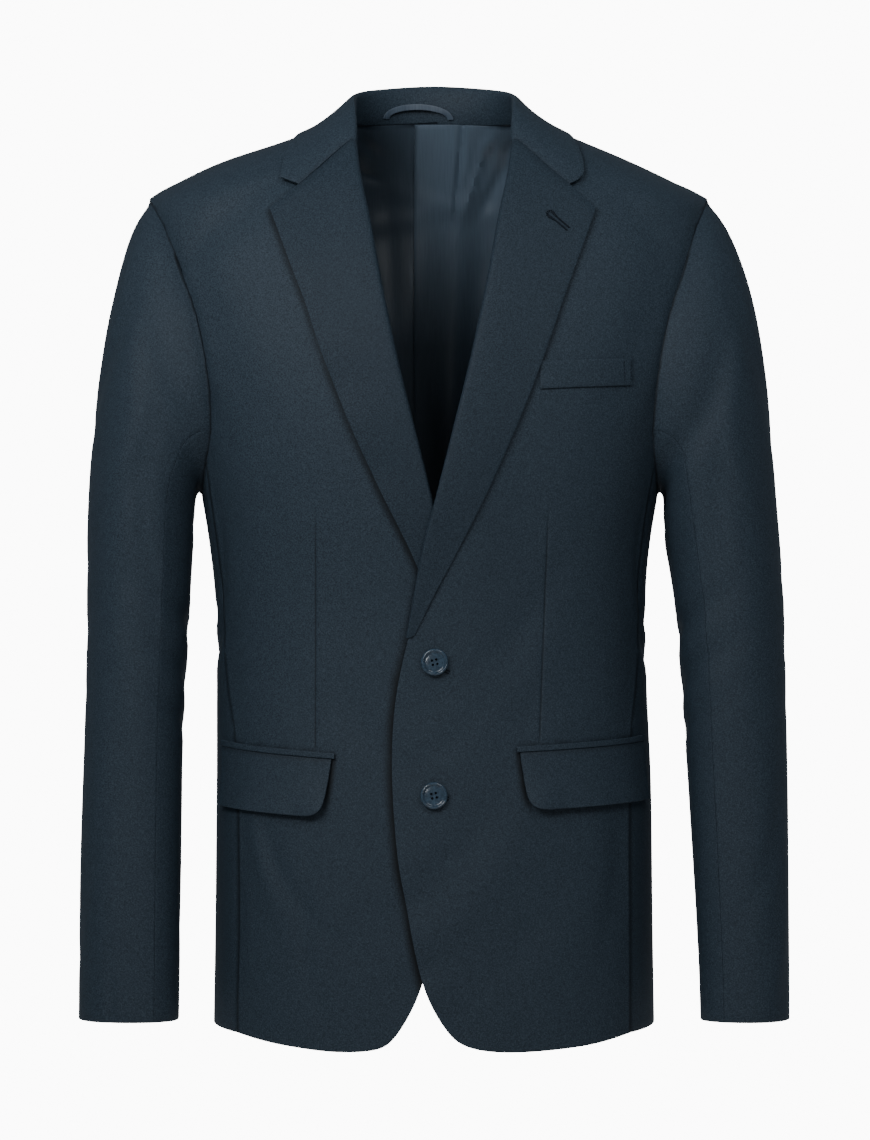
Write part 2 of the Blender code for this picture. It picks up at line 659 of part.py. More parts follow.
# ---------------------------------------------------------------- lapels and collar
def lapel_section(side, roll, edge, share, frame, places):
    """Both faces of the lapel across one row: round the fold (0 to 1), then flat (1 to 2)."""
    start, normal, away = frame
    gap = bloom_at_fold(share)
    seen, hidden = [], []
    for step in places:
        if step <= 1.0:
            angle = math.pi * (step - 0.5)
            for radius, line in ((0.5 * gap + LAPEL_CLOTH, seen), (0.5 * gap, hidden)):
                out = SEAM_GAP + radius * math.cos(angle)
                rise = 0.5 * gap + radius * math.sin(angle)
                line.append(start + away * out + normal * rise)
        else:
            flat = step - 1.0
            (roll_x, roll_height), (edge_x, edge_height) = flat_pairs((roll, edge))
            height = roll_height * (1.0 - flat) + edge_height * flat
            degrees = degrees_at(roll_x * (1.0 - flat) + edge_x * flat, height)
            rest = gap + (bloom_at_edge(share) - gap) * fade(flat, 0.0, 0.8)
            seen.append(front_skin(side, degrees, height, rest + LAPEL_CLOTH))
            hidden.append(front_skin(side, degrees, height, rest))
    return seen, hidden


def roll_frame(side, row):
    """Point, outward direction and direction off the front at one sample of the roll line."""
    roll = ROLLS[side]

    def place(sample):
        return front_skin(side, sample[0], sample[1])

    before = place(roll[max(row - 1, 0)])
    after = place(roll[min(row + 1, len(roll) - 1)])
    normal = body_normal(side * roll[row][0], roll[row][1])
    away = unit(np.cross(unit(after - before), normal))
    if away[0] * side > 0.0:
        away = -away
    return place(roll[row]), normal, away


LAPEL_PLACES = (0.0, 0.2, 0.4, 0.6, 0.8, 1.0, 1.18, 1.38, 1.6, 1.8, 2.0)
COLLAR_PLACES = (0.0, 0.125, 0.25, 0.375, 0.5, 0.75, 1.0, 1.25, 1.5, 1.75, 2.0)


def build_lapel(side, collection):
    seen, hidden = [], []
    for row in range(ROLL_STRIPS + 1):
        frame = roll_frame(side, row)
        lines = lapel_section(side, ROLLS[side][row], LAPEL_EDGES[side][row],
                              row / ROLL_STRIPS, frame, LAPEL_PLACES)
        seen.append(lines[0])
        hidden.append(lines[1])
    half = 0.5 * GORGE_GAP
    return wall("lapel_" + side_name(side), pulled_in(seen, top=half), pulled_in(hidden, top=half),
                "collar", collection)


def bezier(points, t):
    first, second, third, fourth = points
    return (first * (1 - t) ** 3 + second * 3 * t * (1 - t) ** 2
            + third * 3 * t * t * (1 - t) + fourth * t ** 3)


STAND_STEPS = (0.0, 0.3, 0.6, 0.86, 1.0)
FALL_STEPS = (0.12, 0.26, 0.45, 0.64, 0.82, 1.0)
STAND_HANDLE = 8.0
CROWN_HANDLE = 5.6
FALL_HANDLE_SHARE = 0.4
NECK_AXIS_Y = 12.0


def collar_station(side, index):
    """Middle line across the collar and its start on the neck seam, for one station."""
    seam = NECK_SEAM_FRONT + NECK_SEAM_BACK[1:]
    turned = [(side * degrees, height) for degrees, height in seam]
    start = skin(*turned[index])
    normal = body_normal(*turned[index])
    toward = np.array((0.0, NECK_AXIS_Y, 60.0))
    up = beyond_edge(turned, index, toward, lambda sample: skin(*sample))
    crown = np.array(COLLAR_CROWN[index - 1], dtype=float)
    crown[0] *= side
    radial = unit(crown - np.array((0.0, NECK_AXIS_Y, crown[2])))
    share = fade(index, 0.0, 3.0)
    over = unit(radial * share + normal * (1.0 - share))
    if index <= len(COLLAR_EDGE):
        x, height = COLLAR_EDGE[index - 1]
        edge = (degrees_at(x, height), height)
    else:
        edge = COLLAR_EDGE_BACK[index - len(COLLAR_EDGE) - 1]
    rest = COLLAR_REST + 0.5 * LAPEL_CLOTH
    end = skin(side * edge[0], edge[1], rest)
    begin = start + up * SEAM_GAP - normal * (0.5 * LAPEL_CLOTH)
    stand = (begin, begin + up * STAND_HANDLE, crown - over * CROWN_HANDLE, crown)
    shoulder = crown + over * CROWN_HANDLE
    straight = end + (shoulder - end) * FALL_HANDLE_SHARE
    hugging = end + unit(start - end) * HUG_HANDLE
    hug = COLLAR_HUG[index - 1]
    fall = (crown, shoulder, straight * (1.0 - hug) + hugging * hug, end)
    line = [bezier(stand, t) for t in STAND_STEPS] + [bezier(fall, t) for t in FALL_STEPS]
    pair = (start + up * SEAM_GAP - normal * LAPEL_CLOTH, start + up * SEAM_GAP)
    return line, pair


def grid_normals(grid):
    """Direction square to a grid of points, at each point."""
    down = np.gradient(grid, axis=0)
    across = np.gradient(grid, axis=1)
    normals = np.cross(down, across)
    return normals / np.maximum(np.linalg.norm(normals, axis=2, keepdims=True), 1e-9)


def collar_faces():
    """Both faces of the collar: rows run from the left gorge round the back to the right one."""
    last = NECK_FRONT_STRIPS + NECK_BACK_STRIPS
    order = [(1, index) for index in range(last + 1)]
    order += [(-1, index) for index in range(last - 1, -1, -1)]
    ends = {}
    middle = []
    pairs = []
    for side, index in order:
        if index == 0:
            frame = roll_frame(side, ROLL_STRIPS)
            notch = on_body((NOTCH_INNER,))[0]
            seen, hidden = lapel_section(side, ROLLS[side][-1], notch, 1.0, frame, COLLAR_PLACES)
            ends[side] = (seen, hidden)
            middle.append([(a + b) * 0.5 for a, b in zip(seen, hidden)])
            pairs.append((seen[0], hidden[0]))
        else:
            line, pair = collar_station(side, index)
            middle.append(line)
            pairs.append(pair)
    middle = np.array(middle)
    normals = grid_normals(middle)
    centre_row = len(order) // 2
    if normals[centre_row, 1][1] > 0.0:
        normals = -normals
    seen = middle + normals * (0.5 * LAPEL_CLOTH)
    hidden = middle - normals * (0.5 * LAPEL_CLOTH)
    for row, pair in enumerate(pairs):
        seen[row, 0], hidden[row, 0] = pair
    seen[0], hidden[0] = ends[1]
    seen[-1], hidden[-1] = ends[-1]
    half = 0.5 * GORGE_GAP
    return pulled_in(seen, top=half, bottom=half), pulled_in(hidden, top=half, bottom=half)


def build_collar(faces, collection):
    return wall("collar", faces[0], faces[1], "collar", collection)


def stand_face_y(seen, x, height):
    """Where the neck side of the collar stand is, behind a point of the loop."""
    centre = NECK_FRONT_STRIPS + NECK_BACK_STRIPS
    found = []
    for row in range(centre - 4, centre + 5):
        heights = [seen[row, column][2] for column in range(4)]
        across = np.interp(height, heights, [seen[row, column][0] for column in range(4)])
        depth = np.interp(height, heights, [seen[row, column][1] for column in range(4)])
        found.append((across, depth))
    found.sort()
    return float(np.interp(x, [item[0] for item in found], [item[1] for item in found]))


LOOP_STRIPS = 14
LOOP_FOOT_HEIGHT = 17.0
LOOP_RISE = 10.5
LOOP_BULGE = 3.0
LOOP_REST = 0.7


def build_loop(seen, collection):
    outer, inner = [], []
    for step in range(LOOP_STRIPS + 1):
        angle = math.pi * step / LOOP_STRIPS
        lines = []
        for rest in (LOOP_CLOTH, 0.0):
            line = []
            for half in (-0.5, 0.5):
                reach = LOOP_HALF_SPAN + half * LOOP_WIDE
                tall = LOOP_RISE + half * LOOP_WIDE
                x = LOOP_CENTRE_X - reach * math.cos(angle)
                height = LOOP_FOOT_HEIGHT + tall * math.sin(angle)
                bulge = LOOP_REST + LOOP_BULGE * math.sin(angle) ** 2
                y = stand_face_y(seen, x, height) - bulge - rest
                line.append(np.array((x, y, height)))
            lines.append(line)
        outer.append(lines[0])
        inner.append(lines[1])
    return wall("hanger_loop", outer, inner, "loop", collection)


# ---------------------------------------------------------------- sleeves
def sleeve_columns(side):
    """The table of rings for one side, as arrays."""
    table = {}
    for place, column_name in enumerate(SLEEVE_COLUMNS):
        table[column_name] = np.array([row[place] for row in SLEEVE_RINGS], dtype=float)
    for edge in ("inner_x", "outer_x"):
        table[edge] = table[edge + "_" + side_name(side)]
    return table


def sleeve_faces(side):
    """Both faces of a whole sleeve: rows are rings, columns start at the shoulder tip."""
    loop = ARM_FRONT[::-1] + ARM_PIT[1:] + ARM_BACK[1:]
    turned = [(side * degrees, height) for degrees, height in loop]
    toward = np.array((side * 230.0, 4.0, -180.0))
    starts, normals, ups = [], [], []
    for index in range(len(turned)):
        starts.append(skin(*turned[index]))
        normals.append(body_normal(*turned[index]))
        wrapped = [turned[index - 1 if index > 0 else len(turned) - 2], turned[index],
                   turned[index + 1 if index < len(turned) - 1 else 1]]
        ups.append(beyond_edge(wrapped, 1, toward, lambda sample: skin(*sample)))
    table = sleeve_columns(side)
    middle_y = 0.5 * (table["front"][0] + table["back"][0])
    half_y = 0.5 * (table["back"][0] - table["front"][0])
    middle_z = 0.5 * (table["outer_z"][0] + table["inner_z"][0])
    half_z = 0.5 * (table["outer_z"][0] - table["inner_z"][0])
    turns = [math.atan2(-(place[1] - middle_y) / half_y, (place[2] - middle_z) / half_z)
             for place in starts]

    def ring_point(ring, turn):
        bend = 2.0 / SLEEVE_POWER
        outward = math.copysign(abs(math.cos(turn)) ** bend, math.cos(turn))
        forward = math.copysign(abs(math.sin(turn)) ** bend, math.sin(turn))
        outer = np.array((side * table["outer_x"][ring], 0.0, table["outer_z"][ring]))
        inner = np.array((side * table["inner_x"][ring], 0.0, table["inner_z"][ring]))
        middle = 0.5 * (outer + inner)
        middle[1] = 0.5 * (table["front"][ring] + table["back"][ring])
        half_depth = 0.5 * (table["back"][ring] - table["front"][ring])
        depth = np.array((0.0, -half_depth * forward, 0.0))
        return middle + 0.5 * (outer - inner) * outward + depth

    rings = []
    for ring in range(len(SLEEVE_RINGS)):
        share = ARMHOLE_SHARE[ring] if ring < len(ARMHOLE_SHARE) else 0.0
        line = []
        for column, turn in enumerate(turns):
            own = starts[column] - ring_point(0, turn)
            line.append(ring_point(ring, turn) + own * share)
        rings.append(line)
    rings = np.array(rings)
    for column in range(len(turns)):
        rings[0, column] = starts[column] + ups[column] * SEAM_GAP
    wide = np.concatenate([rings[:, -2:-1], rings, rings[:, 1:2]], axis=1)
    outward = grid_normals(wide)[:, 1:-1]
    if outward[10, 0][0] * side < 0.0:
        outward = -outward
    for ring in range(1, len(SLEEVE_RINGS)):
        for column in range(len(turns)):
            rings[ring, column] += outward[ring, column] * sleeve_fold(side, column, ring)
    inside = rings - outward * SLEEVE_CLOTH
    for column in range(len(turns)):
        inside[0, column] = rings[0, column] - normals[column] * CLOTH
    return rings, inside


def sleeve_fold(side, column, ring):
    """Depth of the sleeve's folds at a column and ring."""
    total = 0.0
    columns = 2 * ARMHOLE_STRIPS + ARMPIT_STRIPS
    for own_side, at, level, length, width, lean, depth in SLEEVE_FOLDS:
        if own_side != side:
            continue
        across = (column - at + columns / 2) % columns - columns / 2
        along = ring - level
        across -= lean * along
        reach = math.exp(-(2.0 * along / length) ** 2)
        total -= depth * reach * fold_profile(across / width)
    return total * fade(ring, *SLEEVE_FOLDS_FROM)


def build_sleeve(side, collection):
    outer, inner = sleeve_faces(side)
    last = outer.shape[1] - 1
    top = list(range(HINDARM_COLUMN, last)) + list(range(0, FOREARM_COLUMN + 1))
    under = list(range(FOREARM_COLUMN, HINDARM_COLUMN + 1))
    half = 0.5 * SEAM_GAP
    for name, columns in (("sleeve_top_", top), ("sleeve_under_", under)):
        wall(name + side_name(side), pulled_in(outer[:, columns], left=half, right=half),
             pulled_in(inner[:, columns], left=half, right=half), "cloth", collection)


# ---------------------------------------------------------------- pockets
FLAP_STRIPS = 9
FLAP_LEVELS = (1.0, 0.95, 0.86, 0.72, 0.4, 0.0)


def build_pocket(side, collection):
    sizes = FLAPS[side]
    seen, hidden = [], []
    tall = sizes["front_top"] - sizes["front_bottom"]
    for level in FLAP_LEVELS:
        left = (1.0 - level) * tall
        corner = 0.0
        if left < FLAP_CORNER:
            corner = FLAP_CORNER - math.sqrt(FLAP_CORNER ** 2 - (FLAP_CORNER - left) ** 2)
        front_height = sizes["front_top"] * (1.0 - level) + sizes["front_bottom"] * level
        back_height = sizes["back_top"] * (1.0 - level) + sizes["back_bottom"] * level
        front_x = sizes["front_x"] + FLAP_SLANT * level + corner
        start = degrees_at(front_x, front_height)
        rest = FLAP_REST + FLAP_BLOOM * level ** 2
        seen_row, hidden_row = [], []
        for step in range(FLAP_STRIPS + 1):
            across = step / FLAP_STRIPS
            degrees = start * (1.0 - across) + sizes["back_degrees"] * across
            height = front_height * (1.0 - across) + back_height * across
            seen_row.append(front_skin(side, degrees, height, rest + FLAP_CLOTH))
            hidden_row.append(front_skin(side, degrees, height, rest))
        seen.append(seen_row)
        hidden.append(hidden_row)
    wall("flap_" + side_name(side), seen, hidden, "cloth", collection)

    seen, hidden = [], []
    start = degrees_at(sizes["front_x"] - 2.5, sizes["front_top"])
    for rise in (SEAM_GAP, SEAM_GAP + JETTING_TALL):
        seen_row, hidden_row = [], []
        for step in range(FLAP_STRIPS + 1):
            across = step / FLAP_STRIPS
            degrees = start * (1.0 - across) + (sizes["back_degrees"] + 0.8) * across
            height = sizes["front_top"] * (1.0 - across) + sizes["back_top"] * across + rise
            seen_row.append(front_skin(side, degrees, height, REST + JETTING_CLOTH))
            hidden_row.append(front_skin(side, degrees, height, REST))
        seen.append(seen_row)
        hidden.append(hidden_row)
    wall("jetting_" + side_name(side), seen, hidden, "cloth", collection)


WELT_STRIPS = 6


def build_welt(collection):
    seen, hidden = [], []
    for level in (0.0, 0.5, 1.0):
        seen_row, hidden_row = [], []
        for step in range(WELT_STRIPS + 1):
            across = step / WELT_STRIPS
            inner = WELT["inner_bottom"] * (1.0 - level) + WELT["inner_top"] * level
            outer = WELT["outer_bottom"] * (1.0 - level) + WELT["outer_top"] * level
            height = inner * (1.0 - across) + outer * across
            x = WELT["inner_x"] * (1.0 - across) + WELT["outer_x"] * across
            degrees = degrees_at(x, height)
            seen_row.append(front_skin(1, degrees, height, REST + WELT_CLOTH))
            hidden_row.append(front_skin(1, degrees, height, REST))
        seen.append(seen_row)
        hidden.append(hidden_row)
    wall("breast_welt", seen, hidden, "cloth", collection)


# ---------------------------------------------------------------- buttons
BUTTON_SEGMENTS = 20
HOLE_SEGMENTS = 6
BUTTON_MERGE = 0.01
# Radius and height of the turned shape from the middle of the back to the middle of the dish.
BUTTON_PROFILE = ((0.0, 0.0), (8.2, 0.0), (10.2, 0.7), (10.8, 1.9), (10.5, 3.2), (9.4, 4.0),
                  (8.2, 3.7), (7.2, 2.9), (0.0, 2.7))


def place_on_front(piece, where):
    """Puts an object made at the origin, facing +Z, on the left front."""
    x, height = where
    degrees = degrees_at(x, height)
    normal = body_normal(degrees, height)
    upright = unit(np.array((0.0, 0.0, 1.0)) - normal * normal[2])
    turn = Matrix((np.cross(upright, normal), upright, normal)).transposed()
    piece.rotation_euler = turn.to_euler()
    piece.location = front_skin(1, degrees, height, BUTTON_STAND) * MM


def build_button(name, where, collection, cutters):
    """Turned button with four holes bored through it."""
    mesh = bpy.data.meshes.new(name)
    profile = [(radius * MM, 0.0, rise * MM) for radius, rise in BUTTON_PROFILE]
    mesh.from_pydata(profile, [(step, step + 1) for step in range(len(profile) - 1)], [])
    button = add_object(name, mesh, "button", collection)
    place_on_front(button, where)
    turned = button.modifiers.new("turned", "SCREW")
    turned.axis = "Z"
    turned.steps = BUTTON_SEGMENTS
    turned.render_steps = BUTTON_SEGMENTS
    turned.use_merge_vertices = True
    turned.merge_threshold = BUTTON_MERGE * MM
    turned.use_normal_calculate = True

    holes = bmesh.new()
    for x, y in ((-1, -1), (1, -1), (1, 1), (-1, 1)):
        made = bmesh.ops.create_cone(holes, cap_ends=True, segments=HOLE_SEGMENTS,
                                     radius1=BUTTON_HOLE_RADIUS * MM,
                                     radius2=BUTTON_HOLE_RADIUS * MM,
                                     depth=3.0 * BUTTON_THICK * MM)
        shift = (BUTTON_HOLE_OFFSET * MM * x, BUTTON_HOLE_OFFSET * MM * y, 0.0)
        bmesh.ops.translate(holes, verts=made["verts"], vec=shift)
    hole_mesh = bpy.data.meshes.new(name + "_holes")
    holes.to_mesh(hole_mesh)
    holes.free()
    cutter = bpy.data.objects.new(name + "_holes", hole_mesh)
    cutters.objects.link(cutter)
    place_on_front(cutter, where)
    cutter.hide_render = True
    cutter.display_type = "WIRE"
    cut = button.modifiers.new("thread_holes", "BOOLEAN")
    cut.operation = "DIFFERENCE"
    cut.solver = "EXACT"
    cut.object = cutter


# ---------------------------------------------------------------- the whole jacket
def build():
    remove_everything()
    collection = new_collection(PART_NAME)
    cutters = new_collection("cutters")
    for side in (1, -1):
        build_front(side, collection)
        build_side(side, collection)
        build_back(side, collection)
        build_sleeve(side, collection)
        build_lapel(side, collection)
        build_pocket(side, collection)
        build_lining(side, collection)
    faces = collar_faces()
    build_collar(faces, collection)
    build_loop(faces[0], collection)
    build_welt(collection)
    for name, where in BUTTONS.items():
        build_button(name, where, collection, cutters)


build()
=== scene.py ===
"""The navy blazer dressed: cloth with its folds, seams and darts, satin lining, buttons and sewing."""

import math

import bmesh
import bpy
import numpy as np
from mathutils import Matrix, Vector
from mathutils.bvhtree import BVHTree
from mathutils.kdtree import KDTree


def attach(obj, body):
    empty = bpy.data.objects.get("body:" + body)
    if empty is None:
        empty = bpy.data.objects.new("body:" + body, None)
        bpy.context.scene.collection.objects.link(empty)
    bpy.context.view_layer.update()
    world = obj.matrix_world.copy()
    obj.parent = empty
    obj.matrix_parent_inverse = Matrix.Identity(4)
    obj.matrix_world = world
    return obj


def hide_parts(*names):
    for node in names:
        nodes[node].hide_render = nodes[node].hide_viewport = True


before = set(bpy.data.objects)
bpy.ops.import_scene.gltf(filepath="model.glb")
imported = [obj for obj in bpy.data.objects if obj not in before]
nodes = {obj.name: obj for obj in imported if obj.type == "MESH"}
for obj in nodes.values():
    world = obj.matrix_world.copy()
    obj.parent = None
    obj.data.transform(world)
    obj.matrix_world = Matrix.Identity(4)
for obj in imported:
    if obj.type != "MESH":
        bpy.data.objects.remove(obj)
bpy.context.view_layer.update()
MM = 0.001

# ---------------------------------------------------------------- sizes, in millimetres
# Cut edges: how round they are, the angle in degrees that marks one, what is one point, and how near
# to a corner of its neighbour a seam keeps a point.
RIM_ROUND = 0.75
RIM_ANGLE = 58.0
WELD = 0.02
SHARED_CORNER = 1.0
CORNERS_MOST = 10000
# Levels of subdivision: closer cages where folds are narrow.
FINE = 3
PLAIN = 2
# Folds: their depth against the tables below, the trough with the ridge at each side, how soon they
# fade along their length, and how they bow.
FOLD_SCALE = 2.2
TROUGH = 1.6
TROUGH_NARROW = 1.7
RIDGE = 0.6
FOLD_FADE = 1.9
BODY_BOW = 0.0022
SLEEVE_BOW = 0.003
LIFT_FADE = 1.4
# Sleeves: mean radius, how far the forearm stands out at its inner edge, where in degrees and how
# widely, and the head, below which the folds set in.
SLEEVE_RADIUS = 52.0
SLEEVE_SQUARE = 5.0
SLEEVE_CORNER = 134.0
SLEEVE_CORNER_WIDE = 26.0
SLEEVE_HEAD = 75.0
SLEEVE_HEAD_TALL = 70.0
ARMHOLE_FOOT = -285.0
# Plan of the weave: the collar's middle and radius, and the depth at which the body turns sideways.
COLLAR_MIDDLE = -60.0
COLLAR_RADIUS = 110.0
BODY_DEPTH = 120.0
# Seams: the widest gap that one closes and by what share, and how far its shade reaches.
SEAM_OPEN = 1.0
SEAM_CLOSED = 0.9
SEAM_SHADE = 1.3
# Back lining: its top at the centre back, the curve of the neck seam, how far the top is drawn up and
# forward, over what height and half width, and its share of the body's folds.
LINING_TOP = 8.1
NECK_CURVE = 0.0012
LINING_RISE = 7.5
LINING_FORWARD = 2.2
LINING_DRAWN = 30.0
LINING_HALF = 76.0
LINING_SHARE = 0.5
GATHER_SCALE = 1.7
# The lining's pleat: x of its edge at the top, its slope, how dark the painted shade lies on the lining
# beyond it and far down inside, and how wide the painted shade along the neck seam is.
PLEAT_TOP = -14.5
PLEAT_LEAN = -0.035
PLEAT_DARK = 0.5
INSIDE_DARK = 0.6
NECK_DARK_WIDE = 3.2

# Body's middle line and plan radii at heights, from which folds are pushed in and out.
BODY_COLUMNS = ("height", "half_width", "front", "back")
BODY_RINGS = ((-745, 181, -128, 123), (-600, 179, -123, 120), (-450, 176, -113, 108),
              (-350, 179, -118, 113), (-250, 198, -127, 126), (-150, 222, -116, 125),
              (-56, 230, -80, 108), (16, 64, -30, 72))
# Sleeve's middle line.
SLEEVE_COLUMNS = ("height", "out", "y")
SLEEVE_AXIS = ((-740, 251, -41), (-620, 250, -30), (-500, 247, -16), (-400, 244, -6),
               (-300, 238, 0), (-200, 230, 3), (-100, 220, 4), (-40, 215, 5))

# Folds on the body: degrees, height, length, width, lean, depth. Degrees run from the centre front
# toward +X, 180 is the centre back; lean is the tilt from upright, clockwise as seen from outside.
# A positive depth is a trough.
BODY_FOLDS = (
    (-44, -78, 130, 30, 44, 1.3), (-58, -200, 90, 18, -8, 0.5), (-30, -200, 120, 30, 30, 0.5),
    (46, -84, 110, 30, -40, 0.7), (58, -195, 90, 18, 8, 0.4),
    (9, -480, 90, 18, 40, 0.5), (16, -462, 110, 24, 44, -0.4), (24, -400, 110, 20, 34, 0.4),
    (4, -590, 120, 24, 36, 0.6), (12, -615, 150, 26, 34, -0.7), (26, -640, 130, 26, 30, 0.5),
    (-14, -500, 110, 22, -36, 0.4), (-40, -600, 110, 14, -28, 0.5), (-47, -585, 100, 16, -12, -0.7),
    (-33, -650, 120, 12, -4, 0.35), (-55, -640, 120, 14, 2, 0.5), (50, -605, 120, 20, 6, 0.6),
    (-62, -122, 90, 12, 52, 0.5), (-66, -150, 90, 12, 40, -0.4),
    (-67, -360, 100, 16, 14, 1.0), (67, -365, 100, 16, -14, 1.1),
    (-80, -420, 70, 16, 70, 1.0), (80, -425, 70, 16, -70, 1.0),
    (90, -400, 60, 14, 80, 0.8), (-92, -392, 60, 14, -80, 0.8),
    (125, -170, 150, 18, -16, 2.0), (-125, -165, 150, 18, 14, 2.0),
    (138, -120, 120, 20, -30, 1.2), (-137, -125, 120, 20, 28, 1.2),
    (118, -300, 110, 16, 24, 1.2), (-118, -295, 110, 16, -24, 1.2),
    (150, -400, 120, 18, 66, 1.4), (-148, -405, 120, 18, -64, 1.4),
    (160, -440, 110, 16, 72, 1.0), (-158, -452, 110, 16, -70, 1.0),
    (152, -620, 180, 24, 6, 1.4), (-150, -615, 180, 24, -5, 1.4),
    (130, -600, 170, 22, 8, 1.2), (-128, -606, 170, 22, -9, 1.2),
    (168, -60, 110, 16, 78, 0.9), (-170, -66, 110, 16, -78, 0.8),
)
# Folds on the sleeves: side, degrees, height, length, width, lean, depth. Degrees run from the outer
# side forward to 90 at the front.
SLEEVE_FOLDS = (
    (-1, 62, -170, 150, 16, 18, 0.7), (-1, 40, -225, 130, 18, 34, 0.7), (-1, 84, -250, 150, 14, 8, -0.7),
    (-1, 52, -330, 120, 16, 42, 0.7), (-1, 40, -400, 90, 16, 60, 0.6), (-1, 60, -450, 80, 16, 66, 0.5),
    (-1, 74, -560, 120, 16, 20, 0.5), (-1, 40, -640, 110, 18, 30, 0.5), (-1, 82, -712, 60, 7, 3, 0.5),
    (1, 66, -165, 150, 16, 16, 0.7), (1, 44, -230, 130, 18, 32, 0.6), (1, 86, -270, 170, 14, 8, -0.8),
    (1, 58, -340, 110, 16, 44, 0.6), (1, 46, -410, 90, 16, 60, 0.6), (1, 66, -455, 80, 16, 66, 0.5),
    (1, 66, -590, 110, 16, -22, 0.7), (1, 50, -660, 100, 16, -16, -0.6),
    (-1, 140, -190, 170, 16, -20, 2.0), (-1, 120, -260, 150, 16, -34, 1.6),
    (-1, 150, -400, 90, 16, -70, 1.8), (-1, 142, -440, 90, 16, -66, 1.5), (-1, 150, -480, 90, 14, -72, 1.2),
    (1, 140, -185, 170, 16, -20, 2.0), (1, 120, -265, 150, 16, -34, 1.6),
    (1, 150, -405, 90, 16, -70, 1.8), (1, 142, -446, 90, 16, -66, 1.5), (1, 150, -484, 90, 14, -72, 1.2),
    (-1, 230, -330, 140, 18, 20, 1.2), (1, 230, -335, 140, 18, 20, 1.2),
    (-1, 200, -600, 150, 18, 10, 0.9), (1, 204, -596, 150, 18, 10, 0.9),
)
# Gathers of the back lining: x and height of the top, x and height of the foot, width, depth.
LINING_FOLDS = (
    (24, 10, 16, -74, 4.6, 2.2), (64, 12, 38, -14, 6.0, -1.8), (42, -8, 22, -70, 5.0, -1.7),
    (68, -4, 34, -70, 9.0, 1.8), (27, 14, 28, 2, 1.9, 0.7), (33, 14, 32, 0, 1.9, 0.7),
    (39, 13, 37, 2, 1.9, 0.6), (52, 12, 47, -4, 2.6, 0.6), (72, -2, 54, -16, 5.0, 1.4),
    (22, -10, 14, -330, 28.0, -2.0), (36, -110, 26, -300, 18.0, 0.9), (60, -110, 46, -300, 18.0, -0.8),
    (-66, -2, -44, -14, 6.0, 1.0), (-68, -24, -42, -33, 7.0, 0.8), (-40, -40, -32, -240, 14.0, 0.5),
    (-26, 8, -24, -20, 4.0, 0.4), (-52, -120, -34, -330, 16.0, 0.7), (56, -260, 44, -460, 20.0, 0.9),
    (-50, -400, -42, -640, 22.0, 1.0), (70, -420, 58, -650, 22.0, 1.0), (110, -160, 96, -420, 24.0, 1.0),
    (-112, -150, -98, -430, 24.0, 1.0),
)
# Seams: piece, its neighbour, how far its edge is sunk (or raised, below zero), over what width,
# and how dark the painted shade in the seam is.
SEAMS = (
    ("front", "side", -0.3, 5.0, 1.0), ("side", "front", 0.9, 5.0, 1.0),
    ("side", "back", 0.7, 5.0, 1.0), ("back", "side", 0.5, 5.0, 1.0), ("front", "back", 0.5, 5.0, 0.6),
    ("back", "front", 0.5, 5.0, 0.6), ("back", "back", 0.4, 5.0, 0.8), ("front", "sleeve", 1.2, 9.0, 1.0),
    ("back", "sleeve", 1.2, 9.0, 1.0), ("side", "sleeve", 0.2, 8.0, 1.0), ("sleeve", "body", 0.4, 4.0, 1.0),
    ("collar", "lapel", 0.1, 4.0, 0.25), ("lapel", "collar", 0.1, 4.0, 0.25),
)
# Cloth that stands off what it lies on: piece, x, height, reach, lift.
LIFTS = (
    ("lapel_right", -118, -118, 40, 3.4), ("lapel_right", -100, -180, 42, 4.2),
    ("lapel_right", -76, -250, 40, 4.0), ("lapel_right", -50, -320, 36, 3.4),
    ("lapel_right", -28, -380, 26, 1.8), ("lapel_left", -18, -408, 26, -1.3),
    ("lapel_left", 108, -120, 40, -0.9), ("lapel_left", 80, -200, 40, -0.9),
    ("lapel_left", 52, -280, 40, -0.9), ("lapel_left", 22, -350, 36, -0.9),
    ("collar", 128, -58, 24, -0.9), ("collar", -128, -58, 24, -0.6),
    ("breast_welt", 84, -202, 16, -1.0), ("breast_welt", 120, -202, 60, -0.6),
    ("flap_right", -88, -552, 24, 4.4), ("flap_right", -118, -566, 24, 2.0),
    ("flap_left", 84, -548, 22, 3.0), ("flap_left", 114, -560, 24, 1.2),
    ("front_left", -26, -600, 26, 1.4), ("front_left", -16, -650, 24, 2.2),
    ("front_left", -4, -695, 22, 2.8),
    ("jetting", 0, -500, 400, 0.7),
)
# Cloth that lies in the shade of an edge above it: piece, what is above, where the shade is full and
# where it ends, how dark it is, and how far past the inner end of what is above (none: all along).
EDGE_SHADES = (
    ("front_right", "lapel_right", 1.4, 7.0, 0.9, 0.0), ("front_right", "front_left", 1.4, 7.5, 0.95, 0.0),
    ("front_right", "flap_right", 0.8, 3.0, 0.3, 0.0), ("front_right", "flap_right", 1.6, 4.8, 0.95, 10.0),
    ("front_left", "flap_left", 0.8, 3.0, 0.3, 0.0), ("front_left", "flap_left", 1.6, 4.8, 0.95, 10.0),
    ("flap_right", "jetting_right", 0.2, 1.6, 0.6, 0.0), ("flap_left", "jetting_left", 0.2, 1.6, 0.6, 0.0),
    ("front_right", "jetting_right", 0.4, 1.8, 0.5, 0.0), ("front_left", "jetting_left", 0.4, 1.8, 0.5, 0.0),
)
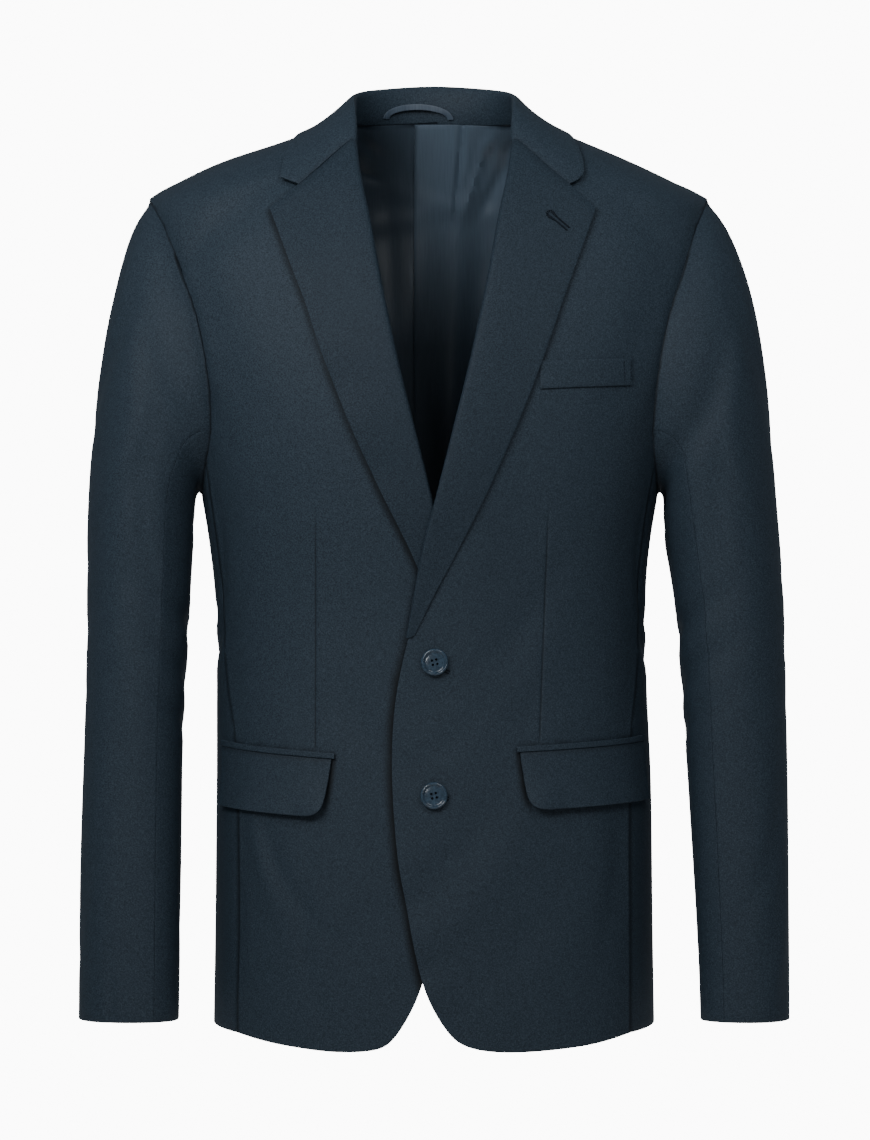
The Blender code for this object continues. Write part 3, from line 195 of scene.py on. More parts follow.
# Front darts: x and height of the top and of the foot. The cloth is cut into rows beside the line,
# up to so far off it and past its ends, and pressed in along it.
DARTS = {"front_right": ((-94, -305), (-94.5, -499)), "front_left": ((91, -308), (84, -493))}
DART_PLANES = (-2.4, -1.1, -0.45, 0.0, 0.45, 1.1, 2.4)
DART_ROW_HALF = 9.0
DART_PAST = 6.0
DART_HALF = 3.0
DART_WIDE = 0.9
DART_DEEP = 0.55
# Painted shade along a dart's line: how dark, and its half width.
DART_DARK = 0.7
DART_DARK_HALF = 0.8


# ---------------------------------------------------------------- materials
def linear(code):
    """A hex sRGB colour as linear red, green, blue and alpha."""
    parts = [int(code[place:place + 2], 16) / 255.0 for place in (1, 3, 5)]
    return [part / 12.92 if part <= 0.04045 else ((part + 0.055) / 1.055) ** 2.4
            for part in parts] + [1.0]


def new_material(name):
    material = bpy.data.materials.new(name)
    material.use_nodes = True
    return material, material.node_tree, material.node_tree.nodes["Principled BSDF"]


def add(tree, kind, links=None, **settings):
    """Adds a node. Settings that aren't properties are inputs; links give the inputs' sources."""
    node = tree.nodes.new(kind)
    for key, value in settings.items():
        if hasattr(node, key):
            setattr(node, key, value)
        else:
            node.inputs[key.replace("_", " ")].default_value = value
    for key, source in (links or {}).items():
        tree.links.new(source, node.inputs[key])
    return node


def suiting(name, base, light, dark):
    """Worsted wool suiting, twill woven from mixed yarn: a dry, fine peppery grain, matt."""
    material, tree, shader = new_material(name)
    place = add(tree, "ShaderNodeTexCoord").outputs["Object"]
    weave = add(tree, "ShaderNodeUVMap", uv_map="weave").outputs["UV"]
    # The yarns are 0.4 mm apart, too fine to show, so the pepper of the mixed yarn is drawn at 1 mm.
    pepper = add(tree, "ShaderNodeTexNoise", {"Vector": place}, Scale=1.0 / 0.001, Detail=1.0,
                 Roughness=0.6)
    slub = add(tree, "ShaderNodeTexNoise", {"Vector": place}, Scale=1.0 / 0.006, Detail=2.0)
    # The twill line is 0.8 mm apart on the cloth and is drawn at 1.7 mm.
    twill = add(tree, "ShaderNodeTexWave", {"Vector": weave}, wave_type="BANDS",
                bands_direction="DIAGONAL", Scale=1.0 / 0.0017 / 20.0 * math.tau, Distortion=1.2,
                Detail=1.0)
    ramp = add(tree, "ShaderNodeValToRGB", {"Fac": pepper.outputs["Fac"]})
    ramp.color_ramp.elements[0].position = 0.30
    ramp.color_ramp.elements[0].color = linear(dark)
    ramp.color_ramp.elements[1].position = 0.72
    ramp.color_ramp.elements[1].color = linear(light)
    middle = ramp.color_ramp.elements.new(0.5)
    middle.color = linear(base)
    tone = add(tree, "ShaderNodeMix", {6: ramp.outputs["Color"]}, data_type="RGBA",
               blend_type="MULTIPLY")
    tone.inputs["Factor"].default_value = 0.35
    soft = add(tree, "ShaderNodeMapRange", {"Value": slub.outputs["Fac"]}, To_Min=0.92, To_Max=1.06)
    tree.links.new(soft.outputs["Result"], tone.inputs[7])
    # Painted shade: the cloth is drawn darker in seams and darts and under edges that lie over it.
    shade_mask = add(tree, "ShaderNodeAttribute", attribute_name="painted_shade", attribute_type="GEOMETRY")
    shade = add(tree, "ShaderNodeMix", {"Factor": shade_mask.outputs["Fac"], 6: tone.outputs[2]},
                data_type="RGBA", blend_type="MIX")
    shade.inputs[7].default_value = [part * 0.22 for part in linear(dark)[:3]] + [1.0]
    tree.links.new(shade.outputs[2], shader.inputs["Base Color"])
    relief = add(tree, "ShaderNodeMath", {0: twill.outputs["Fac"], 2: pepper.outputs["Fac"]},
                 operation="MULTIPLY_ADD")
    relief.inputs[1].default_value = 0.25
    bump = add(tree, "ShaderNodeBump", {"Height": relief.outputs["Value"]}, Strength=0.2,
               Distance=0.0005)
    tree.links.new(bump.outputs["Normal"], shader.inputs["Normal"])
    shader.inputs["Roughness"].default_value = 0.66
    shader.inputs["Specular IOR Level"].default_value = 0.22
    shader.inputs["Sheen Weight"].default_value = 0.03
    shader.inputs["Sheen Roughness"].default_value = 0.5
    shader.inputs["Sheen Tint"].default_value = linear("#8fa3b4")
    return material


def satin(name, base, deep, rough=0.36):
    """Viscose satin, warp faced: long floats give a soft streak of shine along the folds."""
    material, tree, shader = new_material(name)
    weave = add(tree, "ShaderNodeUVMap", uv_map="weave").outputs["UV"]
    # Threads are 0.1 mm apart; the streak of the warp is drawn at 1.2 mm by 24 mm.
    long_way = add(tree, "ShaderNodeMapping", {"Vector": weave}, Scale=(1.0 / 0.0012, 1.0 / 0.024, 1.0))
    floats = add(tree, "ShaderNodeTexNoise", {"Vector": long_way.outputs["Vector"]}, Scale=1.0,
                 Detail=1.0)
    ramp = add(tree, "ShaderNodeValToRGB", {"Fac": floats.outputs["Fac"]})
    ramp.color_ramp.elements[0].position = 0.25
    ramp.color_ramp.elements[0].color = linear(deep)
    ramp.color_ramp.elements[1].position = 0.75
    ramp.color_ramp.elements[1].color = linear(base)
    # Painted shade: the lining is drawn darker behind the pleat, under the collar stand and far down inside.
    lining_shade_mask = add(tree, "ShaderNodeAttribute", attribute_name="painted_shade", attribute_type="GEOMETRY")
    toned = add(tree, "ShaderNodeMix", {"Factor": lining_shade_mask.outputs["Fac"], 6: ramp.outputs["Color"]},
                data_type="RGBA", blend_type="MIX")
    toned.inputs[7].default_value = linear("#10161c")
    tree.links.new(toned.outputs[2], shader.inputs["Base Color"])
    bump = add(tree, "ShaderNodeBump", {"Height": floats.outputs["Fac"]}, Strength=0.12,
               Distance=0.0002)
    tree.links.new(bump.outputs["Normal"], shader.inputs["Normal"])
    shader.inputs["Roughness"].default_value = rough
    gloss = add(tree, "ShaderNodeMapRange", {"Value": lining_shade_mask.outputs["Fac"]}, To_Min=0.5, To_Max=0.05)
    tree.links.new(gloss.outputs["Result"], shader.inputs["Specular IOR Level"])
    shader.inputs["Sheen Weight"].default_value = 0.25
    shader.inputs["Sheen Roughness"].default_value = 0.35
    shader.inputs["Sheen Tint"].default_value = linear("#9fb0c4")
    return material


def moulded_resin(name, base, cloud):
    """Cast polyester resin, tumbled: a smooth, softly clouded button with a low gloss."""
    material, tree, shader = new_material(name)
    place = add(tree, "ShaderNodeTexCoord").outputs["Object"]
    swirl = add(tree, "ShaderNodeTexNoise", {"Vector": place}, Scale=1.0 / 0.004, Detail=3.0,
                Distortion=1.4)
    ramp = add(tree, "ShaderNodeValToRGB", {"Fac": swirl.outputs["Fac"]})
    ramp.color_ramp.elements[0].position = 0.35
    ramp.color_ramp.elements[0].color = linear(base)
    ramp.color_ramp.elements[1].position = 0.75
    ramp.color_ramp.elements[1].color = linear(cloud)
    tree.links.new(ramp.outputs["Color"], shader.inputs["Base Color"])
    wear = add(tree, "ShaderNodeMapRange", {"Value": swirl.outputs["Fac"]}, To_Min=0.13, To_Max=0.22)
    tree.links.new(wear.outputs["Result"], shader.inputs["Roughness"])
    shader.inputs["IOR"].default_value = 1.55
    return material


def thread(name, colour):
    """Spun polyester thread: two plies, so it has a soft twist and little shine."""
    material, tree, shader = new_material(name)
    place = add(tree, "ShaderNodeTexCoord").outputs["Object"]
    # The ply turns every 0.5 mm.
    twist = add(tree, "ShaderNodeTexWave", {"Vector": place}, Scale=1.0 / 0.0005 / 20.0 * math.tau,
                Distortion=2.0)
    bump = add(tree, "ShaderNodeBump", {"Height": twist.outputs["Fac"]}, Strength=0.4,
               Distance=0.0002)
    tree.links.new(bump.outputs["Normal"], shader.inputs["Normal"])
    tone = add(tree, "ShaderNodeMix", data_type="RGBA")
    tone.inputs[6].default_value = linear(colour)
    tone.inputs[7].default_value = [part * 0.6 for part in linear(colour)[:3]] + [1.0]
    tree.links.new(twist.outputs["Fac"], tone.inputs["Factor"])
    tree.links.new(tone.outputs[2], shader.inputs["Base Color"])
    shader.inputs["Roughness"].default_value = 0.7
    shader.inputs["Specular IOR Level"].default_value = 0.2
    return material


WORSTED = suiting("worsted_twill_navy", "#2b3844", "#384652", "#202b35")
# The facing is a darker copy of the worsted: painted shade.
SHADED_FACING = suiting("worsted_facing_navy_painted_shade", "#25323e", "#313f4b", "#1b2731")
SATIN = satin("viscose_satin_navy", "#566777", "#505f6e")
STRAP = satin("satin_ribbon_navy", "#4a5969", "#3a4756", 0.42)
RESIN = moulded_resin("polyester_resin_navy", "#2b3b4a", "#3f5568")
THREAD = thread("polyester_thread_navy", "#1b2632")
HOLE_THREAD = thread("silk_twist_dark_navy", "#16202b")


# ---------------------------------------------------------------- cloth
def column(rows, names, name):
    """One named column of a table as an array."""
    return np.array([row[names.index(name)] for row in rows], dtype=float)


def looked_up(rows, names, name, heights):
    """A column's value at each height, between the rows of a table."""
    keys = column(rows, names, "height")
    order = np.argsort(keys)
    return np.interp(heights, keys[order], column(rows, names, name)[order])


def cage_of(node):
    """Welded copy of a node's mesh, in quads."""
    cage = bmesh.new()
    cage.from_mesh(node.data)
    bmesh.ops.remove_doubles(cage, verts=cage.verts, dist=WELD * MM)
    bmesh.ops.join_triangles(cage, faces=cage.faces, angle_face_threshold=math.radians(50),
                             angle_shape_threshold=math.radians(70))
    return cage


def edge_angle(edge):
    return math.degrees(edge.calc_face_angle(0.0))


def rim_corners(cage):
    """Rim points where a cloth turns a corner."""
    found = []
    for vert in cage.verts:
        if sum(1 for edge in vert.link_edges if edge_angle(edge) > RIM_ANGLE) > 2:
            found.append(vert)
    return found


def corners_of_all(names):
    """Every corner of every cloth, so that its neighbours' seams keep a point there too."""
    tree = KDTree(CORNERS_MOST)
    count = 0
    for name in names:
        cage = cage_of(nodes[name])
        for vert in rim_corners(cage):
            tree.insert(vert.co, count)
            count += 1
        cage.free()
    tree.balance()
    return tree


def subdivided(cage, levels, name, corners):
    """The cage as a fine mesh whose cut edges and corners stay where they are."""
    edge_crease = cage.edges.layers.float.new("crease_edge")
    corner_crease = cage.verts.layers.float.new("crease_vert")
    for edge in cage.edges:
        if edge_angle(edge) > RIM_ANGLE:
            edge[edge_crease] = 1.0
    for vert in cage.verts:
        on_rim = any(edge[edge_crease] > 0.0 for edge in vert.link_edges)
        if on_rim and corners.find(vert.co)[2] < SHARED_CORNER * MM:
            vert[corner_crease] = 1.0
    rough = bpy.data.meshes.new(name + "_cage")
    cage.to_mesh(rough)
    cage.free()
    holder = bpy.data.objects.new(name + "_cage", rough)
    bpy.context.scene.collection.objects.link(holder)
    divide = holder.modifiers.new("divide", "SUBSURF")
    divide.levels = levels
    divide.render_levels = levels
    graph = bpy.context.evaluated_depsgraph_get()
    fine = bpy.data.meshes.new_from_object(holder.evaluated_get(graph))
    bpy.data.objects.remove(holder, do_unlink=True)
    bpy.data.meshes.remove(rough)
    return fine


def points_of(mesh):
    points = np.empty(len(mesh.vertices) * 3)
    mesh.vertices.foreach_get("co", points)
    return points.reshape(-1, 3) / MM


def rising(values, start, reach):
    """None before the start, one from a reach beyond it, and even in between."""
    return np.clip((values - start) / reach, 0.0, 1.0)


def body_radii(points):
    """The body's half width, and its depth to the front or to the back, at each point's height."""
    y, z = points[:, 1], points[:, 2]
    front = looked_up(BODY_RINGS, BODY_COLUMNS, "front", z)
    back = looked_up(BODY_RINGS, BODY_COLUMNS, "back", z)
    return looked_up(BODY_RINGS, BODY_COLUMNS, "half_width", z), np.where(y < 0.0, -front, back)


def from_sleeve_middle(points, side):
    """Level way from the middle line of a sleeve to each point."""
    x, y, z = points.T
    middle_x = side * looked_up(SLEEVE_AXIS, SLEEVE_COLUMNS, "out", z)
    middle_y = looked_up(SLEEVE_AXIS, SLEEVE_COLUMNS, "y", z)
    return np.stack([x - middle_x, y - middle_y, np.zeros_like(x)], axis=1)


def unit(ways):
    return ways / np.maximum(np.linalg.norm(ways, axis=1, keepdims=True), 1e-9)


def fold_profile(offset):
    """Section of a fold: a trough with a low ridge each side. The offset is in widths."""
    return TROUGH * np.exp(-(TROUGH_NARROW * offset) ** 2) - RIDGE * np.exp(-offset ** 2)


def folds_at(folds, degrees, arc, z, bow):
    """Sum of some folds at points given by degrees, millimetres to a degree and height."""
    total = np.zeros_like(z)
    for at, height, length, width, lean, deep in folds:
        across = ((degrees - at + 180.0) % 360.0 - 180.0) * arc
        rise = z - height
        tilt = math.radians(lean)
        off = across * math.cos(tilt) - rise * math.sin(tilt)
        way = across * math.sin(tilt) + rise * math.cos(tilt)
        bend = off + bow * way ** 2 * math.copysign(1.0, lean)
        fade = np.exp(-(FOLD_FADE * way / length) ** 2)
        total -= FOLD_SCALE * deep * fold_profile(bend / width) * fade
    return total


def body_push(points):
    """How far and which way the body's folds move each point."""
    x, y, z = points.T
    half, depth = body_radii(points)
    degrees = np.degrees(np.arctan2(x / half, -y / depth))
    outward = unit(np.stack([x / half ** 2, y / depth ** 2, np.zeros_like(x)], axis=1))
    arc = np.radians(0.5 * (half + depth))
    return outward * folds_at(BODY_FOLDS, degrees, arc, z, BODY_BOW)[:, None]


def sleeve_push(points, side):
    """How far and which way a sleeve's folds move each point."""
    z = points[:, 2]
    away = from_sleeve_middle(points, side)
    outward = away / np.maximum(np.linalg.norm(away, axis=1), 1.0)[:, None]
    degrees = np.degrees(np.arctan2(-away[:, 1], side * away[:, 0])) % 360.0
    folds = [row[1:] for row in SLEEVE_FOLDS if row[0] == side]
    total = folds_at(folds, degrees, math.radians(SLEEVE_RADIUS), z, SLEEVE_BOW)
    # The forearm side is flat in front and turns sharply in at its inner edge.
    total += SLEEVE_SQUARE * np.exp(-((degrees - SLEEVE_CORNER) / SLEEVE_CORNER_WIDE) ** 2)
    return outward * (total * rising(-z, SLEEVE_HEAD, SLEEVE_HEAD_TALL))[:, None]


def sewn_beside(other, neighbour):
    """Whether a cloth is the neighbour that a row of the seams names."""
    return other.startswith(neighbour) or neighbour == "body" and not other.startswith("sleeve")


def near_cloth(points, other, reach):
    """Points within reach of another cloth: index, nearest spot and distance of each."""
    low, high = SEAM_BOXES[other]
    close = np.all((points > low - reach) & (points < high + reach), axis=1)
    for index in np.flatnonzero(close):
        found = SEAM_TREES[other].find_nearest(Vector(points[index]), reach)
        if found[0] is not None:
            yield index, found[0], found[3]


def seam_depth(points, name):
    """How far each point of a cloth sinks toward its seams, and the way its cut edge closes them."""
    sunk = np.zeros(len(points))
    closing = np.zeros_like(points)
    for piece, neighbour, sink, width, shade in SEAMS:
        if not name.startswith(piece):
            continue
        for other in SEAM_TREES:
            if other == name or not sewn_beside(other, neighbour):
                continue
            for index, spot, away in near_cloth(points, other, width):
                if away < SEAM_OPEN:
                    closing[index] = (np.array(spot) - points[index]) * SEAM_CLOSED
                share = 1.0 - away / width
                deeper = sink * share * share * (3.0 - 2.0 * share)
                if abs(deeper) > abs(sunk[index]):
                    sunk[index] = deeper
    return sunk, closing


def outward_of(points, name, side):
    """Level direction away from the middle of the body or of the sleeve."""
    x, y, z = points.T
    if name.startswith("sleeve"):
        return unit(from_sleeve_middle(points, side))
    half, depth = body_radii(points)
    # Beside the armhole the cloth moves only forward or back, so the seam stays closed.
    level = np.where(z < ARMHOLE_FOOT, 1.0, 0.0) if name.startswith(("front", "back")) else 1.0
    return unit(np.stack([level * x / half ** 2, y / depth ** 2, np.zeros_like(x)], axis=1))


def lift_of(points, name):
    """How far a cloth stands off what it lies on."""
    x, z = points[:, 0], points[:, 2]
    total = np.zeros_like(x)
    for piece, at_x, height, reach, lift in LIFTS:
        if name.startswith(piece):
            away = np.hypot(x - at_x, z - height) / reach
            more = lift * np.exp(-LIFT_FADE * away ** 2)
            total = np.where(np.abs(more) > np.abs(total), more, total)
    return total


def lining_push(points):
    """Gathers of the lining, pushed forward and back."""
    x, z = points[:, 0], points[:, 2]
    total = np.zeros_like(x)
    for top_x, top, foot_x, foot, width, deep in LINING_FOLDS:
        run = np.array([foot_x - top_x, foot - top], dtype=float)
        length = np.linalg.norm(run)
        run /= length
        way = (x - top_x) * run[0] + (z - top) * run[1]
        off = (x - top_x) * run[1] - (z - top) * run[0]
        # A gather is full to over half its length, and dies out fast above its top.
        share = np.clip(way / length, -0.1, 1.15)
        reach = np.exp(-(np.maximum(share - 0.55, 0.0) * 3.2) ** 2)
        reach *= np.exp(-(np.minimum(share, 0.0) * 12.0) ** 2)
        reach *= rising(-z, -LINING_TOP - 6.0, 6.0)
        total += GATHER_SCALE * deep * fold_profile(off / width) * reach
    push = np.zeros_like(points)
    push[:, 1] = total
    # The top is drawn up over the foot of the collar stand.
    top = LINING_TOP - NECK_CURVE * x ** 2
    near = rising(z, top - LINING_DRAWN, LINING_DRAWN) ** 2 * rising(-np.abs(x), -LINING_HALF, 10.0)
    push[:, 2] = LINING_RISE * near
    push[:, 1] -= LINING_FORWARD * near
    return push


def move_points(mesh, push, points):
    mesh.vertices.foreach_set("co", ((points + push) * MM).ravel())
    mesh.update()


def dart_sewn(body, line):
    """Cuts rows of edges beside a dart's line and presses the seam in along it."""
    (x0, z0), (x1, z1) = line
    run = Vector((x1 - x0, 0.0, z1 - z0)).normalized()
    across = Vector((run.z, 0.0, -run.x))
    start = Vector((x0, 0.0, z0))
    low, high = min(z0, z1) - DART_PAST, max(z0, z1) + DART_PAST

    def near(face):
        spot = face.calc_center_median() / MM
        off = (spot - start).dot(across)
        return low < spot.z < high and spot.y < 0.0 and abs(off) < DART_ROW_HALF

    for offset in DART_PLANES:
        faces = [face for face in body.faces if near(face)]
        edges = {edge for face in faces for edge in face.edges}
        verts = {vert for face in faces for vert in face.verts}
        bmesh.ops.bisect_plane(body, geom=faces + list(edges) + list(verts), dist=1e-7,
                               plane_co=(start + across * offset) * MM, plane_no=across)
    for vert in body.verts:
        spot = vert.co / MM
        if spot.y > 0.0 or not low < spot.z < high:
            continue
        off = (spot - start).dot(across)
        if abs(off) > DART_HALF:
            continue
        end = rising(spot.z, low, 8.0) * rising(-spot.z, -high, 30.0)
        vert.co.y += DART_DEEP * MM * end * math.exp(-(off / DART_WIDE) ** 2)


def rounded_rim(body):
    edges = [edge for edge in body.edges if edge_angle(edge) > RIM_ANGLE]
    bmesh.ops.bevel(body, geom=edges, offset=RIM_ROUND * MM, offset_type="OFFSET", segments=2,
                    profile=0.5, affect="EDGES", clamp_overlap=True, material=-1)


def weave_map(mesh, kind, side):
    """UV map in metres: threads across and along the cloth."""
    points = points_of(mesh)
    x, y, z = points.T
    if kind == "sleeve":
        away = from_sleeve_middle(points, side)
        around = np.arctan2(-away[:, 1], side * away[:, 0])
        if "under" in mesh.name:
            around %= math.tau
        flat = np.stack([around * SLEEVE_RADIUS, z], axis=1)
    elif kind == "lining":
        flat = np.stack([x, z], axis=1)
    elif kind == "collar":
        flat = np.stack([np.arctan2(x, y - COLLAR_MIDDLE) * COLLAR_RADIUS, z + y], axis=1)
    else:
        flat = np.stack([x + np.sign(x) * np.abs(np.abs(y) - BODY_DEPTH), z], axis=1)
    layer = mesh.uv_layers.new(name="weave")
    owners = np.empty(len(mesh.loops), dtype=np.int32)
    mesh.loops.foreach_get("vertex_index", owners)
    layer.data.foreach_set("uv", (flat[owners] * MM).ravel())


def show(mesh, name, material):
    piece = bpy.data.objects.new(name, mesh)
    bpy.context.scene.collection.objects.link(piece)
    mesh.materials.clear()
    mesh.materials.append(material)
    mesh.polygons.foreach_set("use_smooth", [True] * len(mesh.polygons))
    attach(piece, "root")
    return piece


def sewn_piece(name, kind, material, levels, corners):
    """Cloth piece on its solid's form, with folds, round edges and its own weave map."""
    side = -1 if name.endswith("right") else 1
    mesh = subdivided(cage_of(nodes[name]), levels, name, corners)
    mesh.name = name + "_cloth"
    points = points_of(mesh)
    sunk, closing = seam_depth(points, name)
    push = closing + outward_of(points, name, side) * (lift_of(points, name) - sunk)[:, None]
    if kind == "sleeve":
        push += sleeve_push(points, side)
    elif kind == "lining":
        push += body_push(points) * LINING_SHARE + lining_push(points)
    elif kind == "body":
        push += body_push(points)
    move_points(mesh, push, points)
    body = bmesh.new()
    body.from_mesh(mesh)
    if name in DARTS:
        dart_sewn(body, DARTS[name])
    rounded_rim(body)
    body.to_mesh(mesh)
    body.free()
    weave_map(mesh, kind, side)
    shade_seams(mesh, name)
    piece = show(mesh, name + "_cloth", material)
    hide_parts(name)
    return piece


def shade_seams(mesh, name):
    """Painted shade as an attribute: one at the bottom of a seam or dart or under an edge, none beside it.
    """
    layer = mesh.attributes.new("painted_shade", "FLOAT", "POINT")
    values = np.zeros(len(mesh.vertices))
    line = DARTS.get(name)
    points = points_of(mesh)
    for other in SEAM_TREES:
        weight = seam_shade(name, other)
        if other == name or not weight:
            continue
        for index, spot, away in near_cloth(points, other, SEAM_SHADE):
            values[index] = max(values[index], weight * (1.0 - away / SEAM_SHADE))
    for piece, over, near, far, share, past_end in EDGE_SHADES:
        if piece != name:
            continue
        low, high = SEAM_BOXES[over]
        limit = min(abs(low[0]), abs(high[0])) + past_end if past_end else math.inf
        for index, spot, away in near_cloth(points, over, far):
            if abs(points[index, 0]) < limit:
                values[index] = max(values[index], share * min(1.0, (far - away) / (far - near)))
    if line:
        for index in np.flatnonzero(points[:, 1] < 0.0):
            values[index] = max(values[index], dart_shade(Vector(points[index]), line))
    if name.startswith("lining"):
        values = pleat_shade(points)
    layer.data.foreach_set("value", values)


def pleat_shade(points):
    """Shade of the back lining: beyond the pleat's edge, along the neck seam and down inside."""
    # The pleat's shade dies out from 120 to 420 below the neck, where the inside is all dark.
    x, z = points[:, 0], points[:, 2]
    edge = PLEAT_TOP + (PLEAT_TOP - z) * PLEAT_LEAN
    far_side = PLEAT_DARK * rising(edge - x, 0.0, 2.0) * rising(z, -420.0, 300.0)
    top = LINING_TOP + LINING_RISE - NECK_CURVE * x ** 2
    painted_shade = rising(z, top - NECK_DARK_WIDE, 1.2)
    deep = INSIDE_DARK * rising(-z, 70.0, 100.0)
    return np.maximum(np.maximum(far_side, painted_shade), deep)


def seam_shade(name, other):
    """How dark the painted shade in the seam between two cloths is; none if they aren't sewn together."""
    for piece, neighbour, sink, width, shade in SEAMS:
        if name.startswith(piece) and sewn_beside(other, neighbour):
            return shade
    return 0.0


# Painted shade along a dart's line, darkest on it and none past its half width.
def dart_shade(spot, line):
    (x0, z0), (x1, z1) = line
    run = Vector((x1 - x0, z1 - z0))
    share = (Vector((spot.x - x0, spot.z - z0)).dot(run)) / run.length_squared
    if not 0.0 <= share <= 1.0:
        return 0.0
    off = abs((spot.x - x0) * run.y - (spot.z - z0) * run.x) / run.length
    return DART_DARK * max(0.0, 1.0 - off / DART_DARK_HALF) * min(1.0, share * 5.0)


def tree_of(mesh):
    """Search tree of a mesh's surface, in millimetres."""
    body = bmesh.new()
    body.from_mesh(mesh)
    bmesh.ops.scale(body, vec=(1.0 / MM,) * 3, verts=body.verts)
    tree = BVHTree.FromBMesh(body)
    body.free()
    return tree


# Cloth pieces: name, the form that its folds follow, and its level of subdivision.
SEWN = (
    ("front_left", "body", FINE), ("front_right", "body", FINE),
    ("side_left", "body", PLAIN), ("side_right", "body", PLAIN),
    ("back_left", "body", PLAIN), ("back_right", "body", PLAIN),
    ("sleeve_top_left", "sleeve", PLAIN), ("sleeve_top_right", "sleeve", PLAIN),
    ("sleeve_under_left", "sleeve", PLAIN), ("sleeve_under_right", "sleeve", PLAIN),
    ("collar", "collar", PLAIN), ("lapel_left", "body", PLAIN), ("lapel_right", "body", PLAIN),
    ("flap_left", "body", PLAIN), ("flap_right", "body", PLAIN),
    ("jetting_left", "body", PLAIN), ("jetting_right", "body", PLAIN),
    ("breast_welt", "body", PLAIN),
)
SEAM_TREES = {row[0]: tree_of(nodes[row[0]].data) for row in SEWN}
SEAM_BOXES = {name: (points_of(nodes[name].data).min(axis=0), points_of(nodes[name].data).max(axis=0))
              for name in SEAM_TREES}
corners = corners_of_all([row[0] for row in SEWN])
pieces = {}
for name, kind, levels in SEWN:
    # A lapel shows the facing, whose grain lies along the roll, in a darker copy: painted shade.
    cloth = SHADED_FACING if name.startswith("lapel") else WORSTED
    pieces[name] = sewn_piece(name, kind, cloth, levels, corners)
for name in ("lining_back_left", "lining_back_right"):
    pieces[name] = sewn_piece(name, "lining", SATIN, FINE, corners_of_all([name]))
pieces["hanger_loop"] = sewn_piece("hanger_loop", "collar", STRAP, PLAIN,
                                   corners_of_all(["hanger_loop"]))


# ---------------------------------------------------------------- cut of each cloth
# Piece, its side or none, width and length of the cut and its area in metres, how it is held, and
# what holds it. Each row is matched to its pieces and nothing more is done with it.
CUTS = (
    ("front", 0.29, 0.79, 0.144, "hung", ("back", "collar")),
    ("side", 0.155, 0.48, 0.060, "hung", ("front", "back")),
    ("back", 0.25, 0.76, 0.146, "hung", ("collar",)),
    ("sleeve_top", 0.24, 0.69, 0.138, "hung", ("front", "back")),
    ("sleeve_under", 0.15, 0.55, 0.065, "hung", ("sleeve_top", "side")),
    ("lapel", 0.10, 0.43, 0.023, "folded", ("front",)),
    ("flap", 0.055, 0.13, 0.0060, "hung", ("jetting",)),
    ("jetting", 0.010, 0.125, 0.00085, "folded", ("front",)),
    ("lining_back", 0.25, 0.74, 0.140, "gathered", ("back",)),
    ("collar", 0.11, 0.42, 0.033, "folded", ("back_left", "back_right", "lapel_left", "lapel_right")),
    ("breast_welt", 0.026, 0.088, 0.0019, "laid", ("front_left",)),
    ("hanger_loop", 0.010, 0.084, 0.00042, "folded", ("collar",)),
)
for kind, width, length, area, held, holders in CUTS:
    for name, piece in pieces.items():
        side = name[len(kind):]
        if not name.startswith(kind) or side not in ("", "_left", "_right"):
            continue


# ---------------------------------------------------------------- buttons
BUTTON_PROFILE = ((0.0, 0.0), (8.4, 0.0), (9.5, 0.35), (10.3, 1.0), (10.75, 1.9), (10.8, 2.6),
                  (10.6, 3.2), (10.2, 3.7), (9.7, 4.0), (9.2, 4.05), (8.8, 3.85), (8.4, 3.45),
                  (8.1, 3.05), (7.6, 2.8), (6.8, 2.7), (4.0, 2.55), (0.0, 2.5))
BUTTON_STEPS = 56
# Holes: half the way between two, their radius, how the four are turned, and each one's corner.
HOLE_APART = 1.8
HOLE_RADIUS = 1.0
HOLE_TURN = math.radians(13.0)
HOLE_PLACES = ((-1, -1), (1, -1), (1, 1), (-1, 1))
# Strands: half the thickness of the button thread, and of the shank behind it.
STRAND_HALF = 0.19
SHANK_HALF = 1.3
# A strand's thickness from its middle to its ends, against its thickest.
STRAND_SHAPE = ((-0.25, 0.85), (0.0, 1.0), (0.25, 0.85))
STRAND_END = 0.4


def facing_of(name):
    """Turn and place of a button: the middle of its back, and the way it faces, from its solid."""
    points = points_of(nodes[name].data)
    middle = points.mean(axis=0)
    spread = np.linalg.svd(points - middle, full_matrices=False)[2]
    normal = Vector(spread[2])
    if normal.y > 0.0:
        normal.negate()
    away = (points - middle) @ np.array(normal)
    back = Vector(middle) + normal * float(away.min())
    across = Vector((0.0, 0.0, 1.0)).cross(normal).normalized()
    turn = Matrix((across, normal.cross(across), normal)).transposed().to_4x4()
    return Matrix.Translation(back * MM) @ turn


def put(body, name, where=Matrix.Identity(4)):
    """A finished body as a mesh in its place."""
    bmesh.ops.transform(body, matrix=where, verts=body.verts)
    mesh = bpy.data.meshes.new(name)
    body.to_mesh(mesh)
    body.free()
    return mesh


